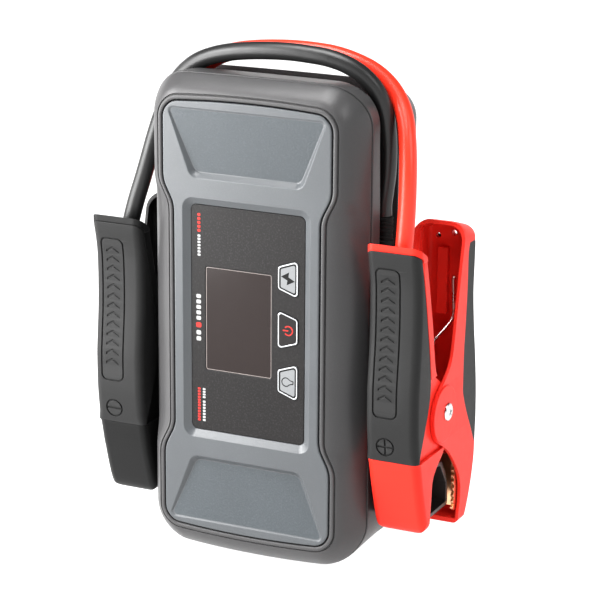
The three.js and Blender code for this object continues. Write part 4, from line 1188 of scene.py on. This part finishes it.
def clamp(color, side, drop):
    place = Matrix.Translation((side * CLAMP_X, 0, -drop))
    plastic = f"{color}_plastic"
    lever = f"{color}_clamp_lever"

    def put(obj, part, body, slot, look, node, **options):
        obj.data.transform(place)
        return settle(obj, f"{color}_{part}", body, slot, look, f"{color}_clamp_{node}", **options)

    put(front_arm(), "front_handle", "pack", plastic, plastic, "front_arm", angle=34)
    put(rear_arm(), "rear_handle", lever, plastic, plastic, "rear_arm", angle=34)
    put(front_grip(color == "red"), "front_grip_cover", "pack", "grip_rubber", "grip", "front_grip", angle=34)
    rear_grip = rear_grip_space((ARM_HALF - 0.5, 5), 0)
    put(rear_grip, "rear_grip_cover", lever, "grip_rubber", "grip", "rear_grip", angle=34)
    put(pivot_pin(), "pivot_rivet", "pack", "steel", "steel", "pivot_pin", angle=40)

    spring = wire(f"{color}_spring_wire", [place @ Vector(p) for p in spring_path()], 0.9, per_span=4)
    spring.data.materials.append(LOOKS["steel"])
    graph = bpy.context.evaluated_depsgraph_get()
    coil = add_object(f"{color}_spring_coil", bpy.data.meshes.new_from_object(spring.evaluated_get(graph)))
    bpy.data.objects.remove(spring)
    coil.data.materials.clear()
    coil.data.materials.append(LOOKS["steel"])
    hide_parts(f"{color}_clamp_spring")
    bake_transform(coil)


clamp("red", 1, 0)
clamp("black", -1, BLACK_DROP)

# ---- CAD nodes that keep their shape ----
KEPT = {
    "inner": ["display_module", "cell_tray", "relay"],
    "board": ["control_board", "power_board", "lamp_board"],
    "pouch": [f"battery_cell_{i}" for i in range(1, 5)],
    "copper": [
        *[f"busbar_{i}" for i in range(1, 4)],
        *[f"{c}_clamp_{part}" for c in ("red", "black") for part in ("front_jaw", "rear_jaw", "cable_lug")],
    ],
    "sink": ["heat_sink"],
    "steel": ["charge_sockets", "port_cover_pin"],
}
for look, names in KEPT.items():
    for name in names:
        NODES[name].data.materials.clear()
        NODES[name].data.materials.append(LOOKS[look])


# ---- Floor and light ----
def make_floor():
    """A pale floor and a low pale wall round it, far behind everything."""
    reach, wall_radius, wall_top, drop, count = 12.0, 8.0, 2.4, -0.0004, 64
    pale = bpy.data.materials.new("pale_floor")
    pale.use_nodes = True
    shader = pale.node_tree.nodes["Principled BSDF"]
    set_inputs(shader, Base_Color=(0.34, 0.34, 0.34, 1), Roughness=0.8)
    set_inputs(shader, Emission_Color=(1, 1, 1, 1), Emission_Strength=0.82)
    corners = [(x, y, drop) for x, y in ((-reach, -reach), (reach, -reach), (reach, reach), (-reach, reach))]
    turns = [2 * math.pi * i / count for i in range(count)]
    ring = [(wall_radius * math.cos(a), wall_radius * math.sin(a)) for a in turns]
    wall = [(x, y, z) for z in (drop, wall_top) for x, y in ring]
    sides = [((i + 1) % count, i, i + count, (i + 1) % count + count) for i in range(count)]
    for name, points, faces in (("floor", corners, [(0, 1, 2, 3)]), ("backdrop", wall, sides)):
        made = add_object(name, bpy.data.meshes.new(name))
        made.data.from_pydata(points, [], faces)
        made.data.materials.append(pale)


def area_light(name, place, aim, size, energy):
    data = bpy.data.lights.new(name, "AREA")
    data.shape, data.size, data.size_y, data.energy = "RECTANGLE", *size, energy
    light = add_object(name, data)
    light.location = place
    light.rotation_euler = (Vector(aim) - Vector(place)).to_track_quat("-Z", "Y").to_euler()


make_floor()
area_light("key", (-1.3, -1.1, 1.3), (0, 0, 0.15), (0.9, 0.9), 24)
area_light("near_left", (-0.50, -0.45, 0.30), (-0.05, -0.05, 0.17), (0.6, 0.7), 11)
area_light("top", (-0.1, -0.35, 1.7), (0, 0, 0.1), (1.1, 0.9), 34)
area_light("side", (1.5, -0.35, 1.35), (0.05, 0, 0.15), (0.6, 0.8), 8)
area_light("back", (1.3, 0.7, 0.6), (0.05, 0, 0.15), (0.5, 1.2), 1)

world = bpy.data.worlds.new("studio")
world.use_nodes = True
set_inputs(world.node_tree.nodes["Background"], Color=(1, 1, 1, 1), Strength=0.05)
SCENE.world = world
SCENE.view_settings.view_transform = "Standard"
SCENE.view_settings.look = "Medium High Contrast"
